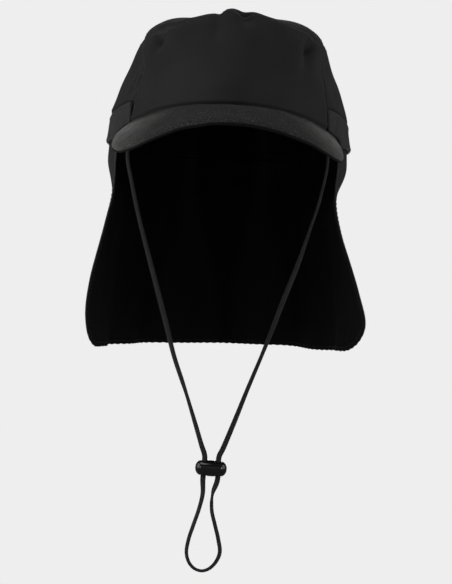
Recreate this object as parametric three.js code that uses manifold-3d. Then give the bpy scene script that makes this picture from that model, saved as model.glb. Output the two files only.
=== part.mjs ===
// Legionnaire sun cap: a soft four-panel crown, a foam peak, a side band, a neck flap
// and a chin cord with a stopper, shown as it sits on a head. Millimetres, +Z up.
// The origin is the middle of the head opening, and the cap faces -Y.
// Left and right are the wearer's, so left is +X. Azimuths run from the front, through +X.
import * as THREE from "three";
import { mergeVertices } from "three/addons/utils/BufferGeometryUtils.js";
import Module from "manifold-3d";

const wasm = await Module();
wasm.setup();

// Clearance between two pieces that are sewn together.
const SEAM_GAP = 0.3;

// Crown
const CROWN_HALF_WIDTH = 81.5;
const CROWN_FRONT_REACH = 99;
const CROWN_BACK_REACH = 99;
const CROWN_RISE = 91;
const CROWN_CLOTH = 1.5;
const CROWN_EDGE_HEIGHT = 1.5; // lower edge at the sides and back
const CROWN_EDGE_ARCH = 13.2; // how much higher that edge is at the front
const SIDE_PANEL_BULGE = 18; // how far the side panels reach out from their seams
const SIDE_SEAM_LEAN = 2.6; // degrees that the side seams lean in towards the top
const RIDGE_BACK = 44; // the ridge seam's middle, behind the front of the crown
const RIDGE_DROP = 8.2; // and below the top of the crown
const RIDGE_TILT = 25; // degrees that the ridge seam's plane falls towards the back
const RIDGE_RAISE = 1.3;
const RIDGE_WIDTH = 5;
const TOP_SAG = 3.2; // hollow in the top panel, behind the ridge seam
const TOP_SAG_BEHIND = 17;
const TOP_SAG_LENGTH = 11;
const TOP_SAG_HALF_WIDTH = 32; // it fades out towards the shoulders
const CROWN_FOLD = 4; // the deepest dent in the crown
const EDGE_ARCH_POWER = 2.3; // how squarely the front edge arches over the peak
const DENTS_FADE = 0.22; // share of the back reach over which the dents fade behind the middle
const TOP_STARTS = 0.7; // shares of the rise where the ridge and the sag begin
const TOP_FULL = 0.85; // and where they are full

// Peak
const PEAK_HALF_WIDTH = 74.3;
const PEAK_REACH = 69; // from the crown's front to the peak's edge
const PEAK_THICKNESS = 4.5;
const PEAK_END_AZIMUTH = 58;
const PEAK_END_BACK = 3.43; // how far its ends reach back past where it leaves the crown
const PEAK_JOIN_HEIGHT = 6.5; // top of the peak at its ends
const PEAK_JOIN_ARCH = 12.5; // how much higher it is at the front
const PEAK_TIP_HEIGHT = 2.5;
const PEAK_SINK = 12.5; // how far the peak's sides bend down below its tip
const PEAK_CAMBER = 2.2;
const PEAK_EDGE_ROUND = 2.4;
const PEAK_EDGE_FLAT = 1; // thickness left at the very edge
const PEAK_ROUND_LIMIT = 0.4; // the edge's rounding takes no more than this share of a short ray

// Side band
const BAND_HEIGHT = 17.4; // at the sides and back
const BAND_FRONT_RISE = 5.8; // how much higher it is at its front ends
const BAND_CLOTH = 1.8;
const BAND_DIP_START = 2; // degrees past the peak's ends where its lower edge begins to come down
const BAND_DIP_END = 9; // and where it is down

// Neck flap
const FLAP_FRONT_AZIMUTH = 63;
const FLAP_DROP = 136;
const FLAP_CLOTH = 1.3;
const FLAP_CORNER = 19; // radius of the front lower corners
const FLAP_TILT = 1.6; // how much lower the hem is at the right side, and higher at the left
const FLAP_SAG = 1.6; // how much lower the hem hangs at one place, behind its left side
const FLAP_SAG_AZIMUTH = 118;
const FLAP_SAG_SPAN = 18; // degrees
const FLAP_FLARE_TOP = 52; // degrees round from the front edge that its flare takes at the top
const FLAP_FLARE_HEM = 26; // and at the hem
const FLAP_FOLD = 2.6;
const FLAP_FOLD_COUNT = 6;
const FLAP_FOLD_START = 8; // degrees round from the front edge where the long folds begin
const FLAP_FOLD_FULL = 34; // and where they are full
const FLAP_PUFF = 0.8; // swelling under the band
const FLAP_PUFF_DROP = 12;
const FLAP_PUFF_HEIGHT = 8;

// Chin cord, its two sewn tabs and its stopper
const CORD_WIDTH = 3.4;
const TAB_AZIMUTH = 57;
const TAB_SPAN = 7; // degrees
const TAB_TOP = 13;
const TAB_BOTTOM = 2;
const TAB_THICKNESS = 3;
const STOPPER_WIDTH = 20.6;
const STOPPER_DEPTH = 10;
const STOPPER_HEIGHT = 10.6;
const STOPPER_ROUND = 4.8;
const STOPPER_PITCH = 9.4; // between its two holes
const STOPPER_X = -2.7;
const STOPPER_Z = -213.2;
const STOPPER_LEAN = 2; // degrees
const HOLE_LEAD = 2.5; // how far past the holes the cord still runs straight

// Upright sections of the crown from its edge to its top, as shares of its rise,
// half width and front and back reach.
const CROWN_SECTIONS = [
  { height: 0.0, side: 1.0, front: 1.0, back: 1.0 },
  { height: 0.14, side: 0.975, front: 1.0, back: 1.0 },
  { height: 0.28, side: 0.952, front: 0.985, back: 0.985 },
  { height: 0.42, side: 0.915, front: 0.95, back: 0.96 },
  { height: 0.55, side: 0.862, front: 0.895, back: 0.92 },
  { height: 0.67, side: 0.805, front: 0.83, back: 0.865 },
  { height: 0.775, side: 0.75, front: 0.745, back: 0.79 },
  { height: 0.86, side: 0.695, front: 0.65, back: 0.7 },
  { height: 0.925, side: 0.58, front: 0.53, back: 0.57 },
  { height: 0.968, side: 0.405, front: 0.38, back: 0.4 },
  { height: 0.99, side: 0.212, front: 0.2, back: 0.2 },
  { height: 1.0, side: 0.0, front: 0.0, back: 0.0 },
];

// Dents (positive) and bumps (negative) in the crown, placed as seen from the front.
// x and across are shares of the half width, z and along of the rise, depth of the fold.
const CROWN_DENTS = [
  { name: "ridge bump", x: -0.02, z: 0.95, depth: -0.8, across: 0.075, along: 0.1, slant: 0 },
  { name: "dip by the bump", x: 0.11, z: 0.87, depth: 0.6, across: 0.055, along: 0.07, slant: 20 },
  { name: "right shoulder dimple", x: -0.585, z: 0.8, depth: 1.0, across: 0.05, along: 0.11, slant: -10 },
  { name: "hollow by the bump", x: -0.33, z: 0.93, depth: 0.5, across: 0.13, along: 0.1, slant: 0 },
  { name: "puff by the dip", x: 0.15, z: 1.0, depth: -0.8, across: 0.11, along: 0.09, slant: 10 },
  { name: "left shoulder puff", x: 0.68, z: 0.8, depth: -0.3, across: 0.14, along: 0.15, slant: -40 },
  { name: "left shoulder dimple", x: 0.625, z: 0.75, depth: 0.85, across: 0.05, along: 0.14, slant: -12 },
  { name: "fold under the bump", x: -0.13, z: 0.8, depth: 0.35, across: 0.05, along: 0.12, slant: -3 },
  { name: "left fold under the ridge", x: 0.34, z: 0.8, depth: 0.35, across: 0.1, along: 0.12, slant: 30 },
  { name: "right side crease", x: -0.82, z: 0.42, depth: 0.4, across: 0.05, along: 0.14, slant: -30 },
  { name: "left side crease", x: 0.86, z: 0.38, depth: 0.4, across: 0.05, along: 0.14, slant: 15 },
  { name: "left side fullness", x: 0.93, z: 0.42, depth: -0.2, across: 0.2, along: 0.34, slant: 0 },
];

// The peak's outline from its middle to its end: across and forward are shares of its
// half width and of its whole depth, the two sinks of PEAK_SINK.
const PEAK_OUTLINE = [
  { across: 0.0, forward: 1.0, sinkRight: 0.0, sinkLeft: 0.0 },
  { across: 0.2, forward: 0.985, sinkRight: 0.07, sinkLeft: 0.04 },
  { across: 0.4, forward: 0.935, sinkRight: 0.3, sinkLeft: 0.21 },
  { across: 0.6, forward: 0.84, sinkRight: 0.7, sinkLeft: 0.5 },
  { across: 0.77, forward: 0.7, sinkRight: 1.06, sinkLeft: 0.84 },
  { across: 0.9, forward: 0.52, sinkRight: 1.12, sinkLeft: 1.08 },
  { across: 0.97, forward: 0.34, sinkRight: 0.88, sinkLeft: 1.03 },
  { across: 1.0, forward: 0.2, sinkRight: 0.52, sinkLeft: 0.75 },
  { across: 0.995, forward: 0.09, sinkRight: 0.2, sinkLeft: 0.38 },
  { across: 0.965, forward: 0.0, sinkRight: -0.1, sinkLeft: 0.0 },
];

// Level sections of the flap from its top to its hem, as shares of the crown's half width
// and reach: the sides, the front edge's place on each side, and the back.
const FLAP_SECTIONS = [
  { drop: 0.0, right: 1.0, left: 1.0, edgeRight: 0.891, edgeLeft: 0.891, back: 1.0, front: 1.0 },
  { drop: 0.12, right: 0.985, left: 0.98, edgeRight: 0.9, edgeLeft: 0.89, back: 1.0, front: 1.0 },
  { drop: 0.27, right: 0.905, left: 0.885, edgeRight: 0.92, edgeLeft: 0.89, back: 1.0, front: 0.98 },
  { drop: 0.4, right: 0.91, left: 0.895, edgeRight: 0.975, edgeLeft: 0.945, back: 1.005, front: 0.96 },
  { drop: 0.55, right: 0.935, left: 0.93, edgeRight: 1.035, edgeLeft: 1.035, back: 1.01, front: 0.94 },
  { drop: 0.7, right: 0.955, left: 0.955, edgeRight: 1.085, edgeLeft: 1.12, back: 1.02, front: 0.92 },
  { drop: 0.85, right: 0.97, left: 0.98, edgeRight: 1.11, edgeLeft: 1.185, back: 1.035, front: 0.9 },
  { drop: 1.0, right: 0.98, left: 0.99, edgeRight: 1.08, edgeLeft: 1.17, back: 1.05, front: 0.88 },
];

// The cord's middle line as it hangs, seen from the front: right tab to stopper, the loop
// under the stopper, and stopper to left tab.
const CORD_RIGHT = [
  { x: -65.0, z: -14 }, { x: -62.2, z: -27 }, { x: -57.7, z: -46 }, { x: -52.6, z: -64 },
  { x: -47.5, z: -81 }, { x: -41.5, z: -101 }, { x: -35.8, z: -120 }, { x: -29.7, z: -141 },
  { x: -21.9, z: -162 }, { x: -14.6, z: -183 }, { x: -9.6, z: -198 },
];
const CORD_LOOP = [
  { x: -7.4, z: -230 }, { x: -9.4, z: -240 }, { x: -12.9, z: -251.5 }, { x: -15.5, z: -260.5 },
  { x: -16.5, z: -269 }, { x: -14.6, z: -275.2 }, { x: -10.8, z: -279.1 }, { x: -6.0, z: -280.4 },
  { x: -1.4, z: -278.8 }, { x: 2.8, z: -274.4 }, { x: 5.2, z: -268 }, { x: 3.8, z: -259 },
  { x: 1.2, z: -249.5 }, { x: -1.1, z: -240.5 }, { x: -1.0, z: -230 },
];
const CORD_LEFT = [
  { x: 4.7, z: -200 }, { x: 11.3, z: -182.5 }, { x: 19.0, z: -161 }, { x: 26.5, z: -141 },
  { x: 33.4, z: -122 }, { x: 40.2, z: -102 }, { x: 48.4, z: -79 }, { x: 56.3, z: -53 },
  { x: 60.4, z: -39 }, { x: 63.6, z: -24 }, { x: 65.3, z: -13 },
];

const FABRIC_BLACK = 0x1b1b1c;
const FOAM_BLACK = 0x2a2a2a;
const CORD_BLACK = 0x151515;
const PLASTIC_BLACK = 0x0b0b0c;

const { lerp, clamp, smoothstep, degToRad } = THREE.MathUtils;

// Value of a table's column at a share of the way down its rows, on a smooth curve.
function smoothColumn(table, column, share) {
  const place = clamp(share, 0, 1) * (table.length - 1);
  const row = Math.min(Math.floor(place), table.length - 2);
  const t = place - row;
  const at = (i) => table[clamp(i, 0, table.length - 1)][column];
  const [a, b, c, d] = [at(row - 1), at(row), at(row + 1), at(row + 2)];
  return b + 0.5 * t * (c - a + t * (2 * a - 5 * b + 4 * c - d + t * (3 * (b - c) + d - a)));
}

// Share of the way down a table's rows where a rising column reaches a value.
function rowShareAt(table, column, value) {
  let [low, high] = [0, 1];
  for (let step = 0; step < 30; step++) {
    const middle = (low + high) / 2;
    if (smoothColumn(table, column, middle) < value) low = middle;
    else high = middle;
  }
  return (low + high) / 2;
}

const crownLevel = (z) => rowShareAt(CROWN_SECTIONS, "height", Math.max(z, 0) / CROWN_RISE);

// How far round from the front an azimuth is, on either side.
const fromFront = (azimuth) => Math.abs(azimuth > 180 ? azimuth - 360 : azimuth);

// 1 at the front, falling to 0 at the peak's ends.
const frontArch = (azimuth) => 1 - Math.min(fromFront(azimuth) / PEAK_END_AZIMUTH, 1) ** EDGE_ARCH_POWER;

const crownEdge = (azimuth) => CROWN_EDGE_HEIGHT + CROWN_EDGE_ARCH * frontArch(azimuth);
const peakJoin = (azimuth) => PEAK_JOIN_HEIGHT + PEAK_JOIN_ARCH * frontArch(azimuth);

// How far a point of the crown lies behind the ridge seam's plane.
const RIDGE_Y = RIDGE_BACK - CROWN_FRONT_REACH;
const RIDGE_Z = CROWN_RISE - RIDGE_DROP;
function behindRidge(point) {
  const tilt = degToRad(RIDGE_TILT);
  return (point.y - RIDGE_Y) * Math.sin(tilt) + (point.z - RIDGE_Z) * Math.cos(tilt);
}

const bell = (offset, width) => Math.exp(-((offset / width) ** 2));

// Outward relief of the crown's cloth: the ridge, the sag behind it, and the dents.
function crownRelief(point) {
  const frontHalf = 1 - smoothstep(point.y, 0, DENTS_FADE * CROWN_BACK_REACH);
  const overTop = smoothstep(point.z, TOP_STARTS * CROWN_RISE, TOP_FULL * CROWN_RISE);
  const behind = behindRidge(point);
  const sag = bell(behind - TOP_SAG_BEHIND, TOP_SAG_LENGTH) * bell(point.x, TOP_SAG_HALF_WIDTH);
  let relief = RIDGE_RAISE * bell(behind, RIDGE_WIDTH) * frontHalf * overTop;
  relief -= TOP_SAG * sag * overTop;
  for (const dent of CROWN_DENTS) {
    const dx = point.x - dent.x * CROWN_HALF_WIDTH;
    const dz = point.z - dent.z * CROWN_RISE;
    const slant = degToRad(dent.slant);
    const across = (dx * Math.cos(slant) + dz * Math.sin(slant)) / (dent.across * CROWN_HALF_WIDTH);
    const along = (dz * Math.cos(slant) - dx * Math.sin(slant)) / (dent.along * CROWN_RISE);
    relief -= dent.depth * CROWN_FOLD * bell(Math.hypot(across, along), 1) * frontHalf;
  }
  return relief;
}

// Smooth crown without relief, at a level from 0 at z = 0 to 1 at the top.
function crownForm(azimuth, level) {
  const angle = degToRad(azimuth);
  const side = smoothColumn(CROWN_SECTIONS, "side", level);
  const ahead = Math.cos(angle) > 0;
  const reach = ahead ? CROWN_FRONT_REACH : CROWN_BACK_REACH;
  const depth = smoothColumn(CROWN_SECTIONS, ahead ? "front" : "back", level);
  const height = smoothColumn(CROWN_SECTIONS, "height", level);
  return new THREE.Vector3(
    CROWN_HALF_WIDTH * side * Math.sin(angle),
    -reach * depth * Math.cos(angle),
    CROWN_RISE * height,
  );
}

// Unit normal of a surface given by a function of two values, from small steps of each.
function surfaceNormal(pointAt, u, v, stepU, stepV) {
  const alongU = pointAt(u + stepU, v).sub(pointAt(u - stepU, v));
  const alongV = pointAt(u, v + stepV).sub(pointAt(u, v - stepV));
  return alongU.cross(alongV).normalize();
}

const TOP_LEVEL = 0.985; // above this the crown counts as level
const LOWEST_LEVEL = 0.012; // normals are taken no lower than this, so that their steps stay on it
function crownSurface(azimuth, level) {
  const point = crownForm(azimuth, level);
  const normal = surfaceNormal(crownForm, azimuth, Math.min(level, TOP_LEVEL), 1, 0.01);
  return point.addScaledVector(normal, crownRelief(point));
}

// Point of the crown moved out from its surface, or in if offset is negative.
function crownOffset(azimuth, level, offset) {
  const point = crownSurface(azimuth, level);
  const up = new THREE.Vector3(0, 0, 1);
  const normal =
    level > TOP_LEVEL ? up : surfaceNormal(crownSurface, azimuth, Math.max(level, LOWEST_LEVEL), 1, 0.01);
  return point.addScaledVector(normal, offset);
}

// Closed solid between two grids of points of one size. The outer grid's rows run
// counterclockwise seen from above and its rows go up; round joins the last column to the first.
function solidBetween(outer, inner, round = false) {
  const rows = outer.length;
  const columns = outer[0].length;
  const positions = [];
  const triangle = (a, b, c) => {
    const flat = new THREE.Triangle(a, b, c).getArea() < 1e-7;
    if (!flat) positions.push(...a, ...b, ...c);
  };
  const quad = (a, b, c, d) => {
    triangle(a, b, c);
    triangle(a, c, d);
  };
  const last = round ? columns : columns - 1;
  for (let i = 0; i < last; i++) {
    const next = (i + 1) % columns;
    for (let j = 0; j < rows - 1; j++) {
      quad(outer[j][i], outer[j][next], outer[j + 1][next], outer[j + 1][i]);
      quad(inner[j][next], inner[j][i], inner[j + 1][i], inner[j + 1][next]);
    }
    quad(outer[0][next], outer[0][i], inner[0][i], inner[0][next]);
    quad(outer[rows - 1][i], outer[rows - 1][next], inner[rows - 1][next], inner[rows - 1][i]);
  }
  for (let j = 0; j < rows - 1 && !round; j++) {
    quad(outer[j][0], outer[j + 1][0], inner[j + 1][0], inner[j][0]);
    quad(outer[j + 1][last], outer[j][last], inner[j][last], inner[j + 1][last]);
  }
  const geometry = new THREE.BufferGeometry();
  geometry.setAttribute("position", new THREE.Float32BufferAttribute(positions, 3));
  return geometry;
}

// Grid of points, rows by columns, from a function of (column share, row share).
function grid(columns, rows, pointAt) {
  return Array.from({ length: rows + 1 }, (_, j) =>
    Array.from({ length: columns }, (_, i) => pointAt(i, j / rows)),
  );
}

function toManifold(geometry) {
  const bare = new THREE.BufferGeometry();
  bare.setAttribute("position", geometry.getAttribute("position"));
  if (geometry.index) bare.setIndex(geometry.index);
  const merged = mergeVertices(bare, 1e-4);
  return new wasm.Manifold(
    new wasm.Mesh({
      numProp: 3,
      vertProperties: merged.attributes.position.array,
      triVerts: new Uint32Array(merged.index.array),
    }),
  );
}

function toGeometry(solid) {
  const mesh = solid.getMesh();
  const geometry = new THREE.BufferGeometry();
  geometry.setAttribute("position", new THREE.Float32BufferAttribute(mesh.vertProperties, 3));
  geometry.setIndex(new THREE.Uint32BufferAttribute(mesh.triVerts, 1));
  const faceted = geometry.toNonIndexed();
  faceted.computeVertexNormals();
  return faceted;
}

const cap = new THREE.Group();

function addPiece(name, geometry, color, roughness) {
  const material = new THREE.MeshStandardMaterial({ color, roughness, metalness: 0 });
  const mesh = new THREE.Mesh(geometry, material);
  mesh.name = name;
  cap.add(mesh);
  return mesh;
}

// Crown shell, cut into its four panels along the side seams and the ridge seam.
const CROWN_COLUMNS = 64;
const CROWN_ROWS = 15;
function crownShell() {
  const at = (offset) => (i, share) => {
    const azimuth = (360 * i) / CROWN_COLUMNS;
    const level = lerp(crownLevel(crownEdge(azimuth)), 1, share);
    return crownOffset(azimuth, level, offset);
  };
  return solidBetween(
    grid(CROWN_COLUMNS, CROWN_ROWS, at(0)),
    grid(CROWN_COLUMNS, CROWN_ROWS, at(-CROWN_CLOTH)),
    true,
  );
}

// Where the side seams' planes meet a height, as a distance from the middle.
const sideSeamX = (z) =>
  CROWN_HALF_WIDTH - SIDE_PANEL_BULGE - z * Math.tan(degToRad(SIDE_SEAM_LEAN));

// The seams are cut with thin blades: two nearly upright ones and the ridge's.
function seamBlades() {
  const length = 2 * (CROWN_FRONT_REACH + CROWN_BACK_REACH);
  const blades = [];
  for (const side of [-1, 1]) {
    const upright = new THREE.BoxGeometry(SEAM_GAP, length, 3 * CROWN_RISE);
    upright.rotateY(-side * degToRad(SIDE_SEAM_LEAN));
    upright.translate(side * sideSeamX(0), 0, 0);
    blades.push(upright);
  }
  const ridge = new THREE.BoxGeometry(2 * sideSeamX(0), 2 * CROWN_FRONT_REACH, SEAM_GAP);
  ridge.rotateX(-degToRad(RIDGE_TILT));
  ridge.translate(0, RIDGE_Y, RIDGE_Z);
  return [...blades, ridge].map(toManifold);
}

function addCrown() {
  const [rightSeam, leftSeam, ridgeSeam] = seamBlades();
  const shell = toManifold(crownShell()).subtract(rightSeam).subtract(leftSeam);
  const reach = (solid, axis) => solid.boundingBox().max[axis];
  const panels = shell.decompose().sort((a, b) => reach(a, 0) - reach(b, 0));
  const [sideRight, middle, sideLeft] = panels;
  const [front, top] = middle
    .subtract(ridgeSeam)
    .decompose()
    .sort((a, b) => reach(a, 1) - reach(b, 1));
  addPiece("crown_front", toGeometry(front), FABRIC_BLACK, 0.8);
  addPiece("crown_top", toGeometry(top), FABRIC_BLACK, 0.8);
  addPiece("crown_side_left", toGeometry(sideLeft), FABRIC_BLACK, 0.8);
  addPiece("crown_side_right", toGeometry(sideRight), FABRIC_BLACK, 0.8);
}

// Patch of cloth that follows the crown between two offsets from its surface.
function crownPatch(from, to, bottomAt, topAt, offsetOut, offsetIn, columns, rows) {
  const at = (offset) => (i, share) => {
    const azimuth = lerp(from, to, i / (columns - 1));
    const z = lerp(bottomAt(azimuth), topAt(azimuth), share);
    return crownOffset(azimuth, crownLevel(z), offset).setZ(z);
  };
  return solidBetween(grid(columns, rows, at(offsetOut)), grid(columns, rows, at(offsetIn)));
}

// Azimuth, in front, of the place where a side seam meets a height.
function sideSeamAzimuth(z) {
  const halfWidth = CROWN_HALF_WIDTH * smoothColumn(CROWN_SECTIONS, "side", crownLevel(z));
  return THREE.MathUtils.radToDeg(Math.asin(sideSeamX(z) / halfWidth));
}

const BAND_COLUMNS = 52;
function addBand() {
  const bottomAt = (azimuth) => {
    const pastPeak = smoothstep(
      fromFront(azimuth), PEAK_END_AZIMUTH + BAND_DIP_START, PEAK_END_AZIMUTH + BAND_DIP_END,
    );
    return (peakJoin(azimuth) + SEAM_GAP) * (1 - pastPeak);
  };
  const start = sideSeamAzimuth(BAND_HEIGHT);
  const topAt = (azimuth) =>
    BAND_HEIGHT + BAND_FRONT_RISE * Math.max(1 - (fromFront(azimuth) - start) / (90 - start), 0);
  const geometry = crownPatch(
    start, 360 - start, bottomAt, topAt, SEAM_GAP + BAND_CLOTH, SEAM_GAP, BAND_COLUMNS, 2,
  );
  addPiece("side_band", geometry, FABRIC_BLACK, 0.8);
}

// Peak: rays from the crown to the outline, with a rounded edge.
const PEAK_COLUMNS = 33;
function peakRay(share) {
  const side = Math.sign(share);
  const azimuth = share * PEAK_END_AZIMUTH;
  const joinZ = peakJoin(azimuth);
  const widest = crownLevel(joinZ - PEAK_THICKNESS);
  const root = crownOffset(azimuth, widest, SEAM_GAP).setZ(joinZ);
  const end = crownForm(PEAK_END_AZIMUTH, 0);
  const backY = end.y + PEAK_END_BACK;
  const column = (name) => smoothColumn(PEAK_OUTLINE, name, Math.abs(share));
  const tip = new THREE.Vector3(
    side * column("across") * PEAK_HALF_WIDTH,
    lerp(backY, -CROWN_FRONT_REACH - PEAK_REACH, column("forward")),
    PEAK_TIP_HEIGHT - column(side > 0 ? "sinkLeft" : "sinkRight") * PEAK_SINK,
  );
  return { root, tip, length: root.distanceTo(tip) };
}

function addPeak() {
  const insets = [1, 0.86, 0.7, 0.52, 0.34, 0.17]; // shares of a ray, from the crown outwards
  const rounding = [1, 0.55, 0.18, 0]; // distances from the edge, in roundings
  const rows = insets.length + rounding.length;
  const at = (face) => (i, rowShare) => {
    const row = Math.round(rowShare * (rows - 1));
    const { root, tip, length } = peakRay((2 * i) / (PEAK_COLUMNS - 1) - 1);
    const round = Math.min(PEAK_EDGE_ROUND, PEAK_ROUND_LIMIT * length);
    const roundShare = rounding[row - insets.length] * round;
    const fromEdge =
      row < insets.length ? lerp(round, length, insets[row]) : roundShare;
    const point = root.clone().lerp(tip, 1 - fromEdge / length);
    const bulge = Math.sin(Math.PI * (1 - fromEdge / length)) * PEAK_CAMBER;
    point.z += (bulge * length) / PEAK_REACH;
    const inRound = Math.min(fromEdge / round, 1);
    const thick = lerp(PEAK_EDGE_FLAT, PEAK_THICKNESS, Math.sqrt(1 - (1 - inRound) ** 2));
    const middle = point.z - PEAK_THICKNESS / 2;
    return point.setZ(middle + (face * thick) / 2);
  };
  const geometry = solidBetween(
    grid(PEAK_COLUMNS, rows - 1, at(-1)),
    grid(PEAK_COLUMNS, rows - 1, at(1)),
  );
  addPiece("peak", geometry, FOAM_BLACK, 0.85);
}

// Neck flap: hangs from the crown's edge, its front edges spread outwards lower down.
function flapForm(azimuth, z) {
  const drop = clamp(-z / FLAP_DROP, 0, 1);
  const row = rowShareAt(FLAP_SECTIONS, "drop", drop);
  const column = (name) => smoothColumn(FLAP_SECTIONS, name, row);
  const angle = degToRad(azimuth);
  const side = azimuth < 180 ? 1 : -1;
  const fromEdge = fromFront(azimuth) - FLAP_FRONT_AZIMUTH;
  const flare = clamp(1 - fromEdge / lerp(FLAP_FLARE_TOP, FLAP_FLARE_HEM, drop), 0, 1) ** 2;
  const width = column(side > 0 ? "left" : "right");
  const edge = column(side > 0 ? "edgeLeft" : "edgeRight");
  const spread = edge - width * Math.sin(degToRad(FLAP_FRONT_AZIMUTH));
  const ahead = Math.cos(angle) > 0;
  const reach = ahead
    ? CROWN_FRONT_REACH * column("front")
    : CROWN_BACK_REACH * column("back");
  return new THREE.Vector3(
    CROWN_HALF_WIDTH * (width * Math.sin(angle) + side * spread * flare),
    -reach * Math.cos(angle),
    z,
  );
}

function flapSurface(azimuth, z) {
  const point = flapForm(azimuth, z);
  const normal = surfaceNormal(flapForm, azimuth, z, 1, 1);
  const drop = clamp(-z / FLAP_DROP, 0, 1);
  const fromEdge = fromFront(azimuth) - FLAP_FRONT_AZIMUTH;
  const whole = 180 - FLAP_FRONT_AZIMUTH;
  const calm = smoothstep(fromEdge, FLAP_FOLD_START, FLAP_FOLD_FULL);
  const wave = Math.cos((Math.PI * FLAP_FOLD_COUNT * fromEdge) / whole);
  const puff = FLAP_PUFF * bell(-z - FLAP_PUFF_DROP, FLAP_PUFF_HEIGHT);
  const relief = FLAP_FOLD * drop ** 1.3 * wave * calm + puff - SEAM_GAP;
  return point.addScaledVector(normal, relief);
}

const FLAP_COLUMNS = 53;
const FLAP_ROWS = 10;
const FLAP_CROWDING = 0.55; // how much closer its columns stand near the front edges
function addFlap() {
  const top = CROWN_EDGE_HEIGHT - SEAM_GAP;
  const at = (offset) => (i, share) => {
    const t = i / (FLAP_COLUMNS - 1);
    const crowded = t - (FLAP_CROWDING * Math.sin(2 * Math.PI * t)) / (2 * Math.PI);
    const azimuth = lerp(FLAP_FRONT_AZIMUTH, 360 - FLAP_FRONT_AZIMUTH, crowded);
    const off = fromFront(azimuth) - FLAP_FRONT_AZIMUTH;
    const fromEdge = degToRad(off) * (CROWN_HALF_WIDTH + FLAP_CORNER / 2);
    const inCorner = clamp(FLAP_CORNER - fromEdge, 0, FLAP_CORNER);
    const cornerRise = FLAP_CORNER - Math.sqrt(FLAP_CORNER ** 2 - inCorner ** 2);
    const sag = FLAP_SAG * bell(azimuth - FLAP_SAG_AZIMUTH, FLAP_SAG_SPAN);
    const hem = FLAP_TILT * Math.sin(degToRad(azimuth)) - FLAP_DROP - sag;
    const z = lerp(hem + cornerRise, top, share);
    const normal = surfaceNormal(flapSurface, azimuth, z, 1, 1);
    return flapSurface(azimuth, z).addScaledVector(normal, offset);
  };
  const geometry = solidBetween(
    grid(FLAP_COLUMNS, FLAP_ROWS, at(0)),
    grid(FLAP_COLUMNS, FLAP_ROWS, at(-FLAP_CLOTH)),
  );
  addPiece("neck_flap", geometry, FABRIC_BLACK, 0.8);
}

// Tabs sewn inside the crown's edge, which hold the cord's ends.
function addTabs() {
  for (const [name, azimuth] of [["cord_tab_left", TAB_AZIMUTH], ["cord_tab_right", -TAB_AZIMUTH]]) {
    const inside = -CROWN_CLOTH - SEAM_GAP;
    const geometry = crownPatch(
      azimuth - TAB_SPAN / 2, azimuth + TAB_SPAN / 2, () => TAB_BOTTOM, () => TAB_TOP,
      inside, inside - TAB_THICKNESS, 4, 2,
    );
    addPiece(name, geometry, FABRIC_BLACK, 0.8);
  }
}

// Where the cord leaves a tab, under the middle of the tab's lower face.
function cordEnd(side) {
  const middle = -CROWN_CLOTH - SEAM_GAP - TAB_THICKNESS / 2;
  const point = crownOffset(side * TAB_AZIMUTH, crownLevel(TAB_BOTTOM), middle);
  return point.setZ(TAB_BOTTOM - SEAM_GAP);
}

// A point of the stopper: across from its middle and along its holes.
function stopperPoint(across, along) {
  const lean = degToRad(STOPPER_LEAN);
  return new THREE.Vector3(
    STOPPER_X + across * Math.cos(lean) + along * Math.sin(lean),
    cordEnd(1).y,
    STOPPER_Z + along * Math.cos(lean) - across * Math.sin(lean),
  );
}

const CORD_STEPS = 76;
const CORD_SIDES = 8;
function addCord() {
  const y = cordEnd(1).y;
  const hanging = (points) => points.map(({ x, z }) => new THREE.Vector3(x, y, z));
  const past = STOPPER_HEIGHT / 2 + HOLE_LEAD;
  const route = new THREE.CatmullRomCurve3(
    [
      cordEnd(-1),
      ...hanging(CORD_RIGHT),
      ...[past, 0, -past].map((along) => stopperPoint(-STOPPER_PITCH / 2, along)),
      ...hanging(CORD_LOOP),
      ...[-past, 0, past].map((along) => stopperPoint(STOPPER_PITCH / 2, along)),
      ...hanging(CORD_LEFT),
      cordEnd(1),
    ],
    false,
    "centripetal",
  );
  const section = new THREE.Shape(
    Array.from({ length: CORD_SIDES }, (_, i) => {
      const angle = (2 * Math.PI * (i + 0.5)) / CORD_SIDES;
      return new THREE.Vector2(Math.cos(angle), Math.sin(angle)).multiplyScalar(CORD_WIDTH / 2);
    }),
  );
  const geometry = new THREE.ExtrudeGeometry(section, { steps: CORD_STEPS, extrudePath: route });
  addPiece("chin_cord", geometry, CORD_BLACK, 0.9);
}

// Stopper: an oval bead with a hole for each side of the cord.
function addStopper() {
  const halfRound = STOPPER_DEPTH / 2 - STOPPER_ROUND;
  const straight = (STOPPER_WIDTH - STOPPER_DEPTH) / 2;
  const outline = new THREE.Shape();
  outline.absarc(straight, 0, halfRound, -Math.PI / 2, Math.PI / 2);
  outline.absarc(-straight, 0, halfRound, Math.PI / 2, (3 * Math.PI) / 2);
  const body = new THREE.ExtrudeGeometry(outline, {
    depth: STOPPER_HEIGHT - 2 * STOPPER_ROUND,
    curveSegments: 8,
    bevelThickness: STOPPER_ROUND,
    bevelSize: STOPPER_ROUND,
    bevelSegments: 5,
  });
  body.translate(0, 0, STOPPER_ROUND - STOPPER_HEIGHT / 2);
  let solid = toManifold(body);
  for (const side of [-1, 1]) {
    const hole = new THREE.CylinderGeometry(
      CORD_WIDTH / 2 + SEAM_GAP, CORD_WIDTH / 2 + SEAM_GAP, 2 * STOPPER_HEIGHT, 16,
    );
    hole.rotateX(Math.PI / 2);
    hole.translate((side * STOPPER_PITCH) / 2, 0, 0);
    solid = solid.subtract(toManifold(hole));
  }
  const bead = addPiece("cord_stopper", toGeometry(solid), PLASTIC_BLACK, 0.25);
  bead.position.copy(stopperPoint(0, 0));
  bead.rotation.y = degToRad(STOPPER_LEAN);
}

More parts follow.
